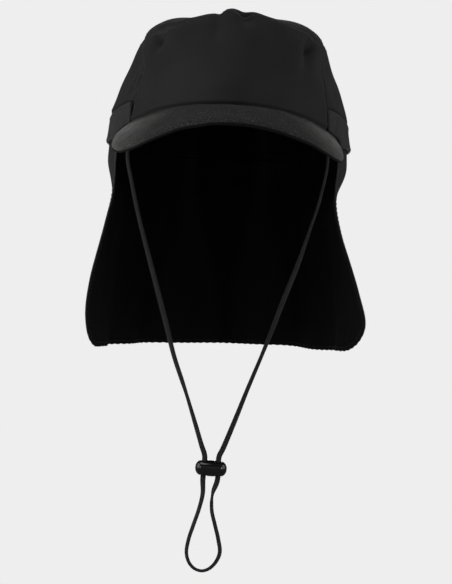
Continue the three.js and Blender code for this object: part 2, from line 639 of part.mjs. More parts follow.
addCrown();
addBand();
addPeak();
addFlap();
addTabs();
addCord();
addStopper();

export default cap;
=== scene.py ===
import math
import bpy
import numpy as np
from mathutils import Matrix, Vector


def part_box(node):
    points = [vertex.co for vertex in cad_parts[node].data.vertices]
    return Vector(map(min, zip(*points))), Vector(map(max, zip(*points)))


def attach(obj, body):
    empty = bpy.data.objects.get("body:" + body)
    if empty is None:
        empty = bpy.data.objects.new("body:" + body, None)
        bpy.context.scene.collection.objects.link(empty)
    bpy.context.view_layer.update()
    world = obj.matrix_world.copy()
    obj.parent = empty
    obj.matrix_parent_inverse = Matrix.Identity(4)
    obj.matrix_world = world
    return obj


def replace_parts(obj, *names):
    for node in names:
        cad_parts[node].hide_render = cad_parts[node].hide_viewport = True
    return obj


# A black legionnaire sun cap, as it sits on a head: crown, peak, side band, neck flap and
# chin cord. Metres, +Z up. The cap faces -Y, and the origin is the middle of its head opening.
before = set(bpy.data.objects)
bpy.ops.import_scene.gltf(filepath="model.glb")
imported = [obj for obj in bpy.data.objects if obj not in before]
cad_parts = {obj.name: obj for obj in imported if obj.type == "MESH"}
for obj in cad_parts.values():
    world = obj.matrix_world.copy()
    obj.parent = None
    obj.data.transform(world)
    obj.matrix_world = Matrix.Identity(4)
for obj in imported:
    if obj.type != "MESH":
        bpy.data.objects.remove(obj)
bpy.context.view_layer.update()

# The camera stands in front, a little lower than the cap's edge, and is rolled slightly,
# so that the cap stands in the picture as it does in the photograph.
CAMERA_PLACE = (0.0025, -1.1, -0.098)
CAMERA_ROLL = math.radians(2.3)
CAMERA_LENS = 99.0
camera = bpy.data.objects.new("camera", bpy.data.cameras.new("camera"))
camera.data.lens = CAMERA_LENS
camera.data.clip_end = 100
upright = Matrix.Rotation(math.radians(90), 4, "X")
camera.matrix_world = Matrix.Translation(CAMERA_PLACE) @ upright @ Matrix.Rotation(CAMERA_ROLL, 4, "Z")
bpy.context.scene.collection.objects.link(camera)
bpy.context.scene.camera = camera

# The chin cord is a flat braided black polyester cord, under 4 mm wide. Its ends are sewn to
# tabs inside the crown's edge, and it runs down both cheeks, through the stopper, and
# hangs in a loop under it.
CORD_WIDTH = 0.0036
CORD_THICKNESS = 0.0019
CORD_SIDES = 20
CORD_STEPS = 2200
CORD_SQUARENESS = 0.8
CORD_END_ROUND = 0.0004
CURVE_STEPS = 120
TURN_EASE = 25
BRAID_PITCH = 0.0018
BRAID_RELIEF = 0.00005
# Heights of the braid over which its gaps turn from painted shade to the strands' colour.
BRAID_GAP_SHADE_HEIGHTS = (0.45, 0.85)
CORD_END_LEAST = 0.02
# The range in which a shader's noise mostly lies.
NOISE_RANGE = (0.3, 0.7)
# How far the braid is turned from lying flat to the front, in degrees, at shares of its length.
CORD_TURNS = [
    (0.0, 60), (0.1, 48), (0.15, 25), (0.2, 22), (0.25, 41), (0.275, 46), (0.29, 65), (0.305, 60),
    (0.325, 44), (0.345, 35), (0.36, 10), (0.385, 5), (0.395, 33), (0.402, 46), (0.415, 58), (0.442, 60),
    (0.5, 67), (0.525, 54), (0.553, 60), (0.57, 62), (0.585, 66), (0.592, 92), (0.598, 130), (0.604, 160),
    (0.615, 176), (0.64, 180), (0.66, 198), (0.69, 215), (0.71, 228), (0.755, 240), (0.8, 215),
    (0.85, 205), (0.88, 235), (0.905, 262), (0.93, 252), (0.96, 260), (1.0, 250),
]
CORD_RIGHT_END = (-0.0652, 0.0017)
CORD_LEFT_END = (0.0653, 0.0017)
STOPPER_MIDDLE = (-0.0027, -0.2132)
STOPPER_LEAN = math.radians(2)
STOPPER_PITCH = 0.0094
STOPPER_HEIGHT = 0.0106
HOLE_LEAD = 0.0025
HOLE_RUN = STOPPER_HEIGHT / 2 + HOLE_LEAD
CORD_RIGHT = [
    (-0.0650, -0.014), (-0.0622, -0.027), (-0.0577, -0.046), (-0.0526, -0.064),
    (-0.0475, -0.081), (-0.0415, -0.101), (-0.0358, -0.120), (-0.0297, -0.141),
    (-0.0219, -0.162), (-0.0146, -0.183), (-0.0096, -0.198),
]
CORD_LOOP = [
    (-0.0074, -0.230), (-0.0094, -0.240), (-0.0129, -0.2515), (-0.0155, -0.2605),
    (-0.0165, -0.269), (-0.0146, -0.2752), (-0.0108, -0.2791), (-0.0060, -0.2804),
    (-0.0014, -0.2788), (0.0028, -0.2744), (0.0052, -0.268), (0.0038, -0.259),
    (0.0012, -0.2495), (-0.0011, -0.2405), (-0.0010, -0.230),
]
CORD_LEFT = [
    (0.0047, -0.200), (0.0113, -0.1825), (0.0190, -0.161), (0.0265, -0.141),
    (0.0334, -0.122), (0.0402, -0.102), (0.0484, -0.079), (0.0563, -0.053),
    (0.0604, -0.039), (0.0636, -0.024), (0.0653, -0.013),
]
cord_plane = sum(corner.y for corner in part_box("chin_cord")) / 2


def stopper_point(across, along):
    """Point of the stopper as seen from the front: across from its middle, along its holes."""
    x, z = STOPPER_MIDDLE
    c, s = math.cos(STOPPER_LEAN), math.sin(STOPPER_LEAN)
    return (x + across * c + along * s, z + along * c - across * s)


def through_stopper(side, direction):
    """The three route points of the cord in one hole, from the end where it goes in."""
    return [stopper_point(side * STOPPER_PITCH / 2, direction * step * HOLE_RUN) for step in (1, 0, -1)]


cord_points = [
    CORD_RIGHT_END, *CORD_RIGHT, *through_stopper(-1, 1), *CORD_LOOP,
    *through_stopper(1, -1), *CORD_LEFT, CORD_LEFT_END,
]


def smooth_route(points, steps):
    """Centripetal Catmull-Rom curve through points, as evenly spaced points."""
    points = np.array([(x, cord_plane, z) for x, z in points])
    ends = [2 * points[0] - points[1], 2 * points[-1] - points[-2]]
    knots = np.vstack([ends[:1], points, ends[1:]])
    spans = np.linalg.norm(np.diff(knots, axis=0), axis=1) ** 0.5
    curve = []
    for i in range(1, len(knots) - 2):
        p0, p1, p2, p3 = knots[i - 1 : i + 3]
        d0, d1, d2 = spans[i - 1 : i + 2]
        leave = (p1 - p0) / d0 - (p2 - p0) / (d0 + d1) + (p2 - p1) / d1
        arrive = (p2 - p1) / d1 - (p3 - p1) / (d1 + d2) + (p3 - p2) / d2
        t = np.linspace(0, 1, CURVE_STEPS, endpoint=i == len(knots) - 3)[:, None]
        curve.append(
            p1
            + t * leave * d1
            + t**2 * (-3 * p1 + 3 * p2 - (2 * leave + arrive) * d1)
            + t**3 * (2 * p1 - 2 * p2 + (leave + arrive) * d1)
        )
    curve = np.vstack(curve)
    run = np.concatenate([[0], np.cumsum(np.linalg.norm(np.diff(curve, axis=0), axis=1))])
    even = np.linspace(0, run[-1], steps + 1)
    return np.stack([np.interp(even, run, curve[:, k]) for k in range(3)], 1), run[-1]


def add_node(tree, kind, inputs=None, **settings):
    """Adds a shader node; each of its inputs is given as a value or as another node's output."""
    node = tree.nodes.new(kind)
    for name, value in settings.items():
        setattr(node, name, value)
    for name, value in (inputs or {}).items():
        if isinstance(value, bpy.types.NodeSocket):
            tree.links.new(value, node.inputs[name])
        else:
            node.inputs[name].default_value = value
    return node


def calculate(tree, operation, *values):
    """Result of one sum in a shader, from numbers or other nodes' outputs."""
    return add_node(tree, "ShaderNodeMath", dict(enumerate(values)), operation=operation).outputs[0]


def effect_group(name, inputs, outputs):
    """Empty shader node group with float inputs (with defaults) and outputs of the given kinds."""
    tree = bpy.data.node_groups.new(name, "ShaderNodeTree")
    for label, value in inputs.items():
        socket = tree.interface.new_socket(label, in_out="INPUT", socket_type="NodeSocketFloat")
        socket.default_value = value
    for label, kind in outputs.items():
        tree.interface.new_socket(label, in_out="OUTPUT", socket_type=kind)
    return tree, tree.nodes.new("NodeGroupInput"), tree.nodes.new("NodeGroupOutput")


def grain_group():
    """Fine and coarse mottling of a surface, both from 0 to 1."""
    tree, given, result = effect_group(
        "grain",
        {"Fine": 1800, "Coarse": 60},
        {"Fine": "NodeSocketFloat", "Coarse": "NodeSocketFloat"},
    )
    place = add_node(tree, "ShaderNodeTexCoord")
    for label, detail in (("Fine", 2), ("Coarse", 4)):
        noise = add_node(
            tree, "ShaderNodeTexNoise",
            {"Vector": place.outputs["Object"], "Scale": given.outputs[label], "Detail": detail},
        )
        tree.links.new(noise.outputs["Fac"], result.inputs[label])
    return tree


GRAIN = grain_group()


def weave_group():
    """Height of a plain weave, over and under, from each point's place on the flat cloth."""
    tree, given, result = effect_group("plain_weave", {"Pitch": 0.0004}, {"Height": "NodeSocketFloat"})
    flat = add_node(tree, "ShaderNodeAttribute", attribute_name="flat_cloth")
    parts = add_node(tree, "ShaderNodeSeparateXYZ", {"Vector": flat.outputs["Vector"]})
    waves = []
    for axis in ("X", "Y"):
        turns = calculate(tree, "DIVIDE", parts.outputs[axis], given.outputs["Pitch"])
        waves.append(calculate(tree, "SINE", calculate(tree, "MULTIPLY", turns, math.pi)))
    over = calculate(tree, "GREATER_THAN", calculate(tree, "MULTIPLY", *waves), 0.0)
    warp, weft = (calculate(tree, "MULTIPLY", wave, wave) for wave in waves)
    height = add_node(tree, "ShaderNodeMix", {"Factor": over, "A": warp, "B": weft}, data_type="FLOAT")
    tree.links.new(height.outputs["Result"], result.inputs["Height"])
    return tree


WEAVE = weave_group()


def add_effect(tree, group, **values):
    """Places an effect group in a material with its own values."""
    node = tree.nodes.new("ShaderNodeGroup")
    node.node_tree = group
    for name, value in values.items():
        node.inputs[name].default_value = value
    return node


def new_finish(name, **sockets):
    """Material with one Principled shader, whose plain values are set on its own sockets."""
    material = bpy.data.materials.new(name)
    material.use_nodes = True
    tree = material.node_tree
    shader = tree.nodes["Principled BSDF"]
    for label, value in sockets.items():
        shader.inputs[label.replace("_", " ")].default_value = value
    return material, tree, shader


def blend_colours(tree, mask, low, high):
    """Colour between two by a mask. Each is a colour or another node's output."""
    low, high = ((*colour, 1) if isinstance(colour, tuple) else colour for colour in (low, high))
    mix = add_node(tree, "ShaderNodeMix", {"Factor": mask, "A": low, "B": high}, data_type="RGBA")
    return mix.outputs["Result"]


def spread(tree, value, from_low, from_high, to_low, to_high):
    """A value carried from one range to another."""
    ranged = add_node(
        tree, "ShaderNodeMapRange",
        {"Value": value, "From Min": from_low, "From Max": from_high, "To Min": to_low, "To Max": to_high},
    )
    return ranged.outputs["Result"]


def uneven(tree, noise, low, high):
    """A value that varies from low to high with a noise."""
    return spread(tree, noise, *NOISE_RANGE, low, high)


def bump(tree, height, depth, strength=1.0, under=None):
    """Normal from a height, over another normal if there is one."""
    node = add_node(tree, "ShaderNodeBump", {"Height": height, "Distance": depth, "Strength": strength})
    if under is not None:
        tree.links.new(under, node.inputs["Normal"])
    return node.outputs["Normal"]


def lay_finish(tree, shader, colour, rough, normal):
    """Gives a shader its colour, roughness and normal over the surface."""
    for label, value in (("Base Color", colour), ("Roughness", rough), ("Normal", normal)):
        tree.links.new(value, shader.inputs[label])


def braid_finish():
    """Matt black braid: paler strand tops, with painted shade in the gaps between them."""
    material, tree, shader = new_finish("braided_polyester", Sheen_Weight=0.1, Specular_IOR_Level=0.3)
    grain = add_effect(tree, GRAIN, Fine=4200, Coarse=240)
    braid = add_effect(tree, WEAVE, Pitch=BRAID_PITCH)
    strand = blend_colours(tree, grain.outputs["Fine"], (0.03, 0.03, 0.028), (0.07, 0.07, 0.066))
    # The gaps between the strands are painted near black: painted shade in the braid's recesses.
    raised = spread(tree, braid.outputs["Height"], *BRAID_GAP_SHADE_HEIGHTS, 0.0, 1.0)
    colour = blend_colours(tree, raised, (0.002, 0.002, 0.002), strand)
    rough = uneven(tree, grain.outputs["Coarse"], 0.55, 0.8)
    fibres = bump(tree, grain.outputs["Fine"], 0.0001, 0.4)
    lay_finish(tree, shader, colour, rough, bump(tree, braid.outputs["Height"], 0.00025, 0.9, fibres))
    return material


def add_piece(name, vertices, faces, material, slot):
    """Smooth-shaded mesh that rides on the cap, given its material; its record slot is not used."""
    mesh = bpy.data.meshes.new(name)
    mesh.from_pydata(vertices.tolist(), [], faces if isinstance(faces, list) else faces.tolist())
    mesh.shade_smooth()
    mesh.materials.append(material)
    piece = bpy.data.objects.new(name, mesh)
    bpy.context.scene.collection.objects.link(piece)
    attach(piece, "root")
    return piece


def keep_places(piece, places):
    """Keeps each point's place on the flat cloth, which the weave follows."""
    kept = piece.data.attributes.new("flat_cloth", "FLOAT_VECTOR", "POINT")
    kept.data.foreach_set("vector", places.astype(np.float32).ravel())


def grid_quads(grid):
    """Quads between the neighbours in a grid of point numbers."""
    return np.stack([grid[:-1, :-1], grid[:-1, 1:], grid[1:, 1:], grid[1:, :-1]], -1).reshape(-1, 4)


def tube_quads(rings, sides):
    """Quads of a tube of rings, open at both ends."""
    number = np.arange(rings * sides).reshape(rings, sides)
    return grid_quads(np.hstack([number, number[:, :1]]))


def closed_tube(rings, sides):
    """Faces of a tube of rings, with one face over each end."""
    last = (rings - 1) * sides
    ends = [list(range(sides))[::-1], list(range(last, last + sides))]
    return tube_quads(rings, sides).tolist() + ends


def squared(wave):
    """A sine or cosine made fuller, so that the ring it draws is less round."""
    return np.sign(wave) * np.abs(wave) ** CORD_SQUARENESS


def make_cord():
    route, length = smooth_route(cord_points, CORD_STEPS)
    along = np.linspace(0, length, CORD_STEPS + 1)[:, None]
    tangent = np.gradient(route, axis=0)
    tangent /= np.linalg.norm(tangent, axis=1, keepdims=True)
    places, turns = np.array(CORD_TURNS, float).T
    angle = np.radians(np.interp(along[:, 0] / length, places, turns))
    ease = np.hanning(TURN_EASE) / np.hanning(TURN_EASE).sum()
    angle = np.convolve(np.pad(angle, TURN_EASE // 2, mode="edge"), ease, mode="valid")[:, None]
    front = np.array([0.0, -1.0, 0.0])
    sideways = np.cross(tangent, front)
    flat = np.cos(angle) * front + np.sin(angle) * sideways
    width = np.cross(flat, tangent)
    ring = np.linspace(0, 2 * np.pi, CORD_SIDES, endpoint=False)[None, :]
    across, thick = squared(np.cos(ring)), squared(np.sin(ring))
    around = (np.pi * (CORD_WIDTH + CORD_THICKNESS) / 2) * ring / (2 * np.pi)
    strands = [np.sin(np.pi * (along + way * around) / BRAID_PITCH) for way in (1, -1)]
    relief = BRAID_RELIEF * strands[0] * strands[1]
    half_width = CORD_WIDTH / 2 - BRAID_RELIEF + relief
    half_thick = CORD_THICKNESS / 2 - BRAID_RELIEF + relief
    ends = np.clip(np.minimum(along, length - along) / CORD_END_ROUND, CORD_END_LEAST, 1) ** 0.5
    points = (
        route[:, None, :]
        + (across * half_width * ends)[..., None] * width[:, None, :]
        + (thick * half_thick * ends)[..., None] * flat[:, None, :]
    )
    faces = closed_tube(CORD_STEPS + 1, CORD_SIDES)
    cord = add_piece("cord_braid", points.reshape(-1, 3), faces, braid_finish(), "cord")
    keep_places(cord, np.stack([along + around, along - around, 0 * along * ring], -1))
    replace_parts(cord, "chin_cord")
    return cord, route, length


chin_cord, cord_route, cord_length = make_cord()

# The stopper is an oval bead of glossy black plastic, moulded in one piece, with a hole for
# each side of the cord. Friction holds it where it is pushed.
STOPPER_WIDTH = 0.0206
STOPPER_DEPTH = 0.010
STOPPER_ROUND = 0.0048
HOLE_RADIUS = 0.002
HOLE_FLARE = 0.0007
# How soon the bead's ends curve in from its straight sides.
STOPPER_SQUARENESS = 2.2
BEAD_VOXEL = 0.00022
POLISH_ROUNDS = 30
BEAD_RINGS = 41
BEAD_SIDES = 96
# The drills that cut the holes reach past the bead, as a share of its half height.
DRILL_REACH = 1.3
DRILL_RINGS = 31
DRILL_SIDES = 40
HOLE_FLARE_POWER = 5


def bead_finish():
    """Glossy black moulded plastic, very slightly uneven."""
    material, tree, shader = new_finish("moulded_plastic", Coat_Weight=0.3, Coat_Roughness=0.1)
    grain = add_effect(tree, GRAIN, Fine=5200, Coarse=420)
    rough = uneven(tree, grain.outputs["Coarse"], 0.1, 0.18)
    colour = blend_colours(tree, grain.outputs["Coarse"], (0.005, 0.005, 0.0055), (0.009, 0.009, 0.0095))
    lay_finish(tree, shader, colour, rough, bump(tree, grain.outputs["Fine"], 0.00002, 0.1))
    return material


def lofted(heights, radii, straight, sides):
    """Closed loft of ovals: each has a radius at a height, and all the same straight length."""
    ring = np.linspace(0, 2 * np.pi, sides, endpoint=False)
    stretch = straight * np.tanh(np.cos(ring) * STOPPER_SQUARENESS) / np.tanh(STOPPER_SQUARENESS)
    x = np.cos(ring) * radii[:, None] + stretch
    y = np.sin(ring) * radii[:, None]
    z = np.broadcast_to(heights[:, None], x.shape)
    return np.stack([x, y, z], -1).reshape(-1, 3), closed_tube(len(heights), sides)


def make_bead():
    half = STOPPER_HEIGHT / 2
    bend = np.linspace(-np.pi / 2, np.pi / 2, BEAD_RINGS)
    heights = np.sign(bend) * (half - STOPPER_ROUND) + STOPPER_ROUND * np.sin(bend)
    radii = STOPPER_DEPTH / 2 - STOPPER_ROUND * (1 - np.cos(bend))
    body = lofted(heights, radii, (STOPPER_WIDTH - STOPPER_DEPTH) / 2, BEAD_SIDES)
    bead = add_piece("stopper_bead", *body, bead_finish(), "plastic")
    levels = np.linspace(-DRILL_REACH, DRILL_REACH, DRILL_RINGS) * half
    flare = HOLE_RADIUS + HOLE_FLARE * np.abs(levels / half) ** HOLE_FLARE_POWER
    drills = []
    points, faces = lofted(levels, flare, 0, DRILL_SIDES)
    for side in (-1, 1):
        offset = [side * STOPPER_PITCH / 2, 0, 0]
        drill = add_piece("drill", points + offset, faces, bead.data.materials[0], "plastic")
        cut = bead.modifiers.new("hole", "BOOLEAN")
        cut.operation = "DIFFERENCE"
        cut.object = drill
        drills.append(drill)
    remesh = bead.modifiers.new("even", "REMESH")
    remesh.voxel_size = BEAD_VOXEL
    smooth = bead.modifiers.new("polish", "SMOOTH")
    smooth.iterations = POLISH_ROUNDS
    finished = bpy.data.meshes.new_from_object(bead.evaluated_get(bpy.context.evaluated_depsgraph_get()))
    bead.modifiers.clear()
    bead.data = finished
    for drill in drills:
        bpy.data.objects.remove(drill)
    x, z = STOPPER_MIDDLE
    finished.transform(Matrix.Translation((x, cord_plane, z)) @ Matrix.Rotation(STOPPER_LEAN, 4, "Y"))
    finished.shade_smooth()
    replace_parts(bead, "cord_stopper")
    return bead


bead = make_bead()

# The crown is thin black woven nylon, four panels sewn with their edges turned in: a wide
# front, a top that starts behind the ridge seam and runs down the back, and two sides.
CROWN_HALF_WIDTH = 0.0815
CROWN_FRONT_REACH = 0.099
CROWN_BACK_REACH = 0.099
CROWN_RISE = 0.091
CROWN_CLOTH = 0.0015
CROWN_EDGE_HEIGHT = 0.0015
CROWN_EDGE_ARCH = 0.0132
PEAK_END_AZIMUTH = 58
PEAK_JOIN_HEIGHT = 0.0065
PEAK_JOIN_ARCH = 0.0125
SIDE_PANEL_BULGE = 0.018
SIDE_SEAM_LEAN = math.radians(2.6)
RIDGE_BACK = 0.044
RIDGE_DROP = 0.0082
RIDGE_TILT = math.radians(25)
RIDGE_RAISE = 0.0006
RIDGE_WIDTH = 0.005
TOP_SAG = 0.0032
TOP_SAG_BEHIND = 0.017
TOP_SAG_LENGTH = 0.011
TOP_SAG_HALF_WIDTH = 0.032
CROWN_FOLD = 0.004
EDGE_ARCH_POWER = 2.3
DENTS_FADE = 0.22
TOP_STARTS = 0.7
TOP_FULL = 0.85
BAND_HEIGHT = 0.0174
BAND_FRONT_RISE = 0.0058
# Upright sections, as shares of the rise, half width and front and back reach.
CROWN_SECTIONS = dict(
    height=[0, 0.14, 0.28, 0.42, 0.55, 0.67, 0.775, 0.86, 0.925, 0.968, 0.99, 1],
    side=[1, 0.975, 0.952, 0.915, 0.862, 0.805, 0.75, 0.695, 0.58, 0.405, 0.212, 0],
    front=[1, 1, 0.985, 0.95, 0.895, 0.83, 0.745, 0.65, 0.53, 0.38, 0.2, 0],
    back=[1, 1, 0.985, 0.96, 0.92, 0.865, 0.79, 0.7, 0.57, 0.4, 0.2, 0],
)
# Dents (positive) and bumps as seen from the front: x, z, depth, reach across and along, and
# slant in degrees. They are shares of the half width, the rise and the fold's depth.
CROWN_DENTS = {
    "ridge bump": (-0.02, 0.95, -0.8, 0.075, 0.1, 0),
    "dip by the bump": (0.11, 0.87, 0.6, 0.055, 0.07, 20),
    "hollow by the bump": (-0.33, 0.93, 0.5, 0.13, 0.1, 0),
    "puff by the dip": (0.15, 1, -0.8, 0.11, 0.09, 10),
    "left shoulder puff": (0.68, 0.8, -0.3, 0.14, 0.15, -40),
    "fold under the bump": (-0.13, 0.8, 0.35, 0.05, 0.12, -3),
    "left fold under the ridge": (0.34, 0.8, 0.35, 0.1, 0.12, 30),
    "right side crease": (-0.82, 0.42, 0.4, 0.05, 0.14, -30),
    "left side crease": (0.86, 0.38, 0.4, 0.05, 0.14, 15),
    "left side fullness": (0.93, 0.42, -0.2, 0.2, 0.34, 0),
    "notch before the bump": (-0.1, 0.98, 0.35, 0.03, 0.12, 0),
    "right shoulder swell": (-0.47, 0.73, -0.2, 0.06, 0.09, -10),
    "left shoulder swell": (0.53, 0.68, -0.2, 0.05, 0.1, -12),
    "right shoulder flat": (-0.71, 0.76, 0.3, 0.08, 0.08, -30),
    "right ridge flat": (-0.46, 0.89, 0.25, 0.08, 0.06, 0),
    "right seam fold": (-0.8, 0.36, -0.3, 0.02, 0.09, -22),
    "left seam fold": (0.87, 0.36, -0.3, 0.022, 0.1, 2),
    "left seam crease": (0.76, 0.36, 0.12, 0.018, 0.12, 8),
}
# Dimples in the front panel's shoulders, which stop at the ridge seam.
SHOULDER_DIMPLES = {
    "right shoulder dimple": (-0.59, 0.805, 2.4, 0.04, 0.13, -8),
    "left shoulder dimple": (0.65, 0.76, 2, 0.04, 0.17, -14),
}
# Where the panels' edges turn in, and how the seam's thread puckers the cloth beside it.
SEAM_DEPTH = 0.0009
SEAM_WIDTH = 0.0008
SEAM_FADE_HEIGHTS = (0.03, 0.065)
SEAM_PULL = 0.0042
SEAM_PULL_HEIGHT = 0.044
SEAM_PULL_LENGTH = 0.009
SEAM_FADE = 0.7
# The front panel's edge stands up along the ridge seam, and the top is tucked in behind it.
RIDGE_LIP = 0.0011
RIDGE_LIP_WIDTH = 0.0013
RIDGE_LIP_HALF_WIDTH = 0.037
RIDGE_TUCK = 0.0032
RIDGE_TUCK_BEHIND = 0.0024
RIDGE_TUCK_WIDTH = 0.0026
# How far past the side seams the ridge seam ends, and how deep its ends are, as a share.
RIDGE_SEAM_PAST = 0.0004
RIDGE_SEAM_LEAST = 0.2
# The dimples fade out from here to here, measured from the ridge seam's plane.
DIMPLES_STOP = (-0.016, 0.004)
# Where the ridge seam is pulled forward from its straight run: places, distances and widths.
RIDGE_WANDER = [
    dict(x=-0.037, forward=0.0078, width=0.0095),
    dict(x=0.0058, forward=0.0052, width=0.0048),
    dict(x=0.04, forward=0.0024, width=0.011),
]
PUCKER_HEIGHT = 0.00009
PUCKER_PITCH = 0.0125
PUCKER_REACH = 0.006
PUCKER_CLEAR = 0.0015
# How much and how slowly the puckers' pitch wanders, and the radius at which it is measured.
PUCKER_WANDER = 1.7
PUCKER_WANDER_PERIOD = 3.3
PUCKER_RADIUS = 0.09
RUMPLE_HEIGHT = 0.0007
RUMPLE_SIZE = 0.03
RUMPLE_WAVES = 14
RUMPLE_SPREAD = (0.7, 1.8)
# The front panel is drawn in along the peak's seam, and swells a little over it.
PEAK_SEAM_DEPTH = 0.0014
PEAK_SEAM_WIDTH = 0.0008
PEAK_SEAM_SWELL = 0.0004
PEAK_SWELL_HEIGHT = 0.0026
PEAK_SWELL_WIDTH = 0.0018
# How much and how far from them the seams are rubbed pale; the pale line along the ridge's edge is a
# painted highlight.
SEAM_WEAR = 0.3
SEAM_WEAR_WIDTH = 0.002
RIDGE_PAINTED_HIGHLIGHT = 2.2
RIDGE_PAINTED_HIGHLIGHT_WIDTH = 0.0009
RIDGE_PAINTED_HIGHLIGHT_BEFORE = 0.001
# How far the cloth over the band and before its front ends puffs out, to lie level with it.
BAND_PUFF = 0.0017
BAND_PUFF_REACH = 0.012
# It sets in over these heights above the band's edge and these distances from its front
# ends, and before the ends it fades over the last heights.
BAND_PUFF_OVER = (0.0001, 0.0016)
BAND_PUFF_BESIDE = (0.0, 0.0007)
BAND_PUFF_TOP = (-0.001, 0.008)
PANEL_COLUMNS = 170
PANEL_ROWS = 130
TOP_PANEL_ROWS = 180
SIDE_ROWS_CROWDING = 1.7
SIDE_ROWS_END = 0.996
LONGEST_RAY = 0.25
PANEL_COLUMNS_CROWDING = 0.8
PANEL_ROWS_CROWDING = 0.75
SIDE_COLUMNS_CROWDING = 0.75
# Steps in degrees and in levels between the points from which a normal is taken, and the
# highest level at which it is: on the very top a section is a point.
AZIMUTH_STEP = 1.0
LEVEL_STEP = 0.01
HIGHEST_NORMAL = 0.985
LEAST_SLOPE = 0.02
# Swings of a ray, in radians up from the front, between which the panels' edges are looked
# for, and how often such a search halves its span.
FRONT_EDGE_SWINGS = (0.0, 0.8)
RIDGE_SWINGS = (0.5, 1.5)
BACK_EDGE_SWINGS = (2.4, math.pi)
RAY_HALVINGS = 34
SWING_HALVINGS = 26
TIP_HALVINGS = 40


def smooth_column(table, column, share):
    """Value of a table's column at a share of the way down its rows, on a smooth curve."""
    rows = np.array(table[column], float)
    place = np.clip(share, 0, 1) * (len(rows) - 1)
    row = np.minimum(place.astype(int), len(rows) - 2)
    t = place - row
    a, b, c, d = (rows[np.clip(row + k, 0, len(rows) - 1)] for k in (-1, 0, 1, 2))
    return b + 0.5 * t * (c - a + t * (2 * a - 5 * b + 4 * c - d + t * (3 * (b - c) + d - a)))


LEVELS = np.linspace(0, 1, 4001)
LEVEL_HEIGHTS = CROWN_RISE * smooth_column(CROWN_SECTIONS, "height", LEVELS)


def crown_level(z):
    """Share of the way up the crown's sections at a height."""
    return np.interp(z, LEVEL_HEIGHTS, LEVELS)


def crown_section(level, ahead):
    """Half width and reach of the crown's section at a level, ahead of the middle or behind."""
    width = CROWN_HALF_WIDTH * smooth_column(CROWN_SECTIONS, "side", level)
    front = CROWN_FRONT_REACH * smooth_column(CROWN_SECTIONS, "front", level)
    back = CROWN_BACK_REACH * smooth_column(CROWN_SECTIONS, "back", level)
    return width, np.where(ahead, front, back)


def crown_spans(y, z):
    """Half width and reach of the crown at a height, never quite nothing."""
    return [np.maximum(span, 1e-6) for span in crown_section(crown_level(z), y < 0)]


def bell(offset, width):
    """Smooth hump of height 1."""
    return np.exp(-((offset / width) ** 2))


def smoothstep(x, low, high):
    """Smooth step from 0 at low to 1 at high."""
    t = np.clip((x - low) / (high - low), 0, 1)
    return t * t * (3 - 2 * t)


def from_front(azimuth):
    """Degrees round from the front, on either side."""
    return np.abs(np.where(azimuth > 180, azimuth - 360, azimuth))


def front_arch(azimuth):
    """Share of the front edge's arch: 1 in the middle and 0 from the peak's ends back."""
    return 1 - np.minimum(from_front(azimuth) / PEAK_END_AZIMUTH, 1) ** EDGE_ARCH_POWER


def crown_edge(azimuth):
    return CROWN_EDGE_HEIGHT + CROWN_EDGE_ARCH * front_arch(azimuth)


def peak_join(azimuth):
    """Height at which the peak's upper face meets the crown."""
    return PEAK_JOIN_HEIGHT + PEAK_JOIN_ARCH * front_arch(azimuth)


def crown_form(azimuth, level):
    """Smooth crown without relief: azimuth in degrees, level from 0 at its edge to 1 on top."""
    angle = np.radians(azimuth)
    width, reach = crown_section(level, np.cos(angle) > 0)
    height = CROWN_RISE * smooth_column(CROWN_SECTIONS, "height", level)
    return np.stack([width * np.sin(angle), -reach * np.cos(angle), height], -1)


def surface_normal(surface, azimuth, place, step):
    """Outward normal of a surface that is given by azimuth and by level or height."""
    along_u = surface(azimuth + AZIMUTH_STEP, place) - surface(azimuth - AZIMUTH_STEP, place)
    along_v = surface(azimuth, place + step) - surface(azimuth, place - step)
    normal = np.cross(along_u, along_v)
    return normal / np.maximum(np.linalg.norm(normal, axis=-1, keepdims=True), 1e-12)


def crown_normal(azimuth, level, surface=crown_form):
    return surface_normal(surface, azimuth, level, LEVEL_STEP)


def side_seam_x(z, side=1):
    """Distance of a side seam from the middle. The right one (side -1) is pulled in at a fold."""
    pulled = SEAM_PULL * bell(z - SEAM_PULL_HEIGHT, SEAM_PULL_LENGTH) * (np.asarray(side) < 0)
    return CROWN_HALF_WIDTH - SIDE_PANEL_BULGE - z * math.tan(SIDE_SEAM_LEAN) - pulled


def behind_ridge(points):
    """How far points lie behind the ridge seam's plane."""
    y = points[..., 1] - (RIDGE_BACK - CROWN_FRONT_REACH)
    z = points[..., 2] - (CROWN_RISE - RIDGE_DROP)
    return y * math.sin(RIDGE_TILT) + z * math.cos(RIDGE_TILT)


def behind_seam(points):
    """How far points lie behind the ridge seam, which wanders from its plane."""
    x = points[..., 0]
    pulled = sum(row["forward"] * bell(x - row["x"], row["width"]) for row in RIDGE_WANDER)
    return behind_ridge(points) + pulled


def dents_depth(dents, x, z):
    """Depth of a table of dents at places seen from the front."""
    total = 0
    for dent_x, dent_z, depth, reach_across, reach_along, slant in dents.values():
        dx = x - dent_x * CROWN_HALF_WIDTH
        dz = z - dent_z * CROWN_RISE
        c, s = math.cos(math.radians(slant)), math.sin(math.radians(slant))
        across = (dx * c + dz * s) / (reach_across * CROWN_HALF_WIDTH)
        along = (dz * c - dx * s) / (reach_along * CROWN_RISE)
        total = total + depth * CROWN_FOLD * bell(np.hypot(across, along), 1)
    return total


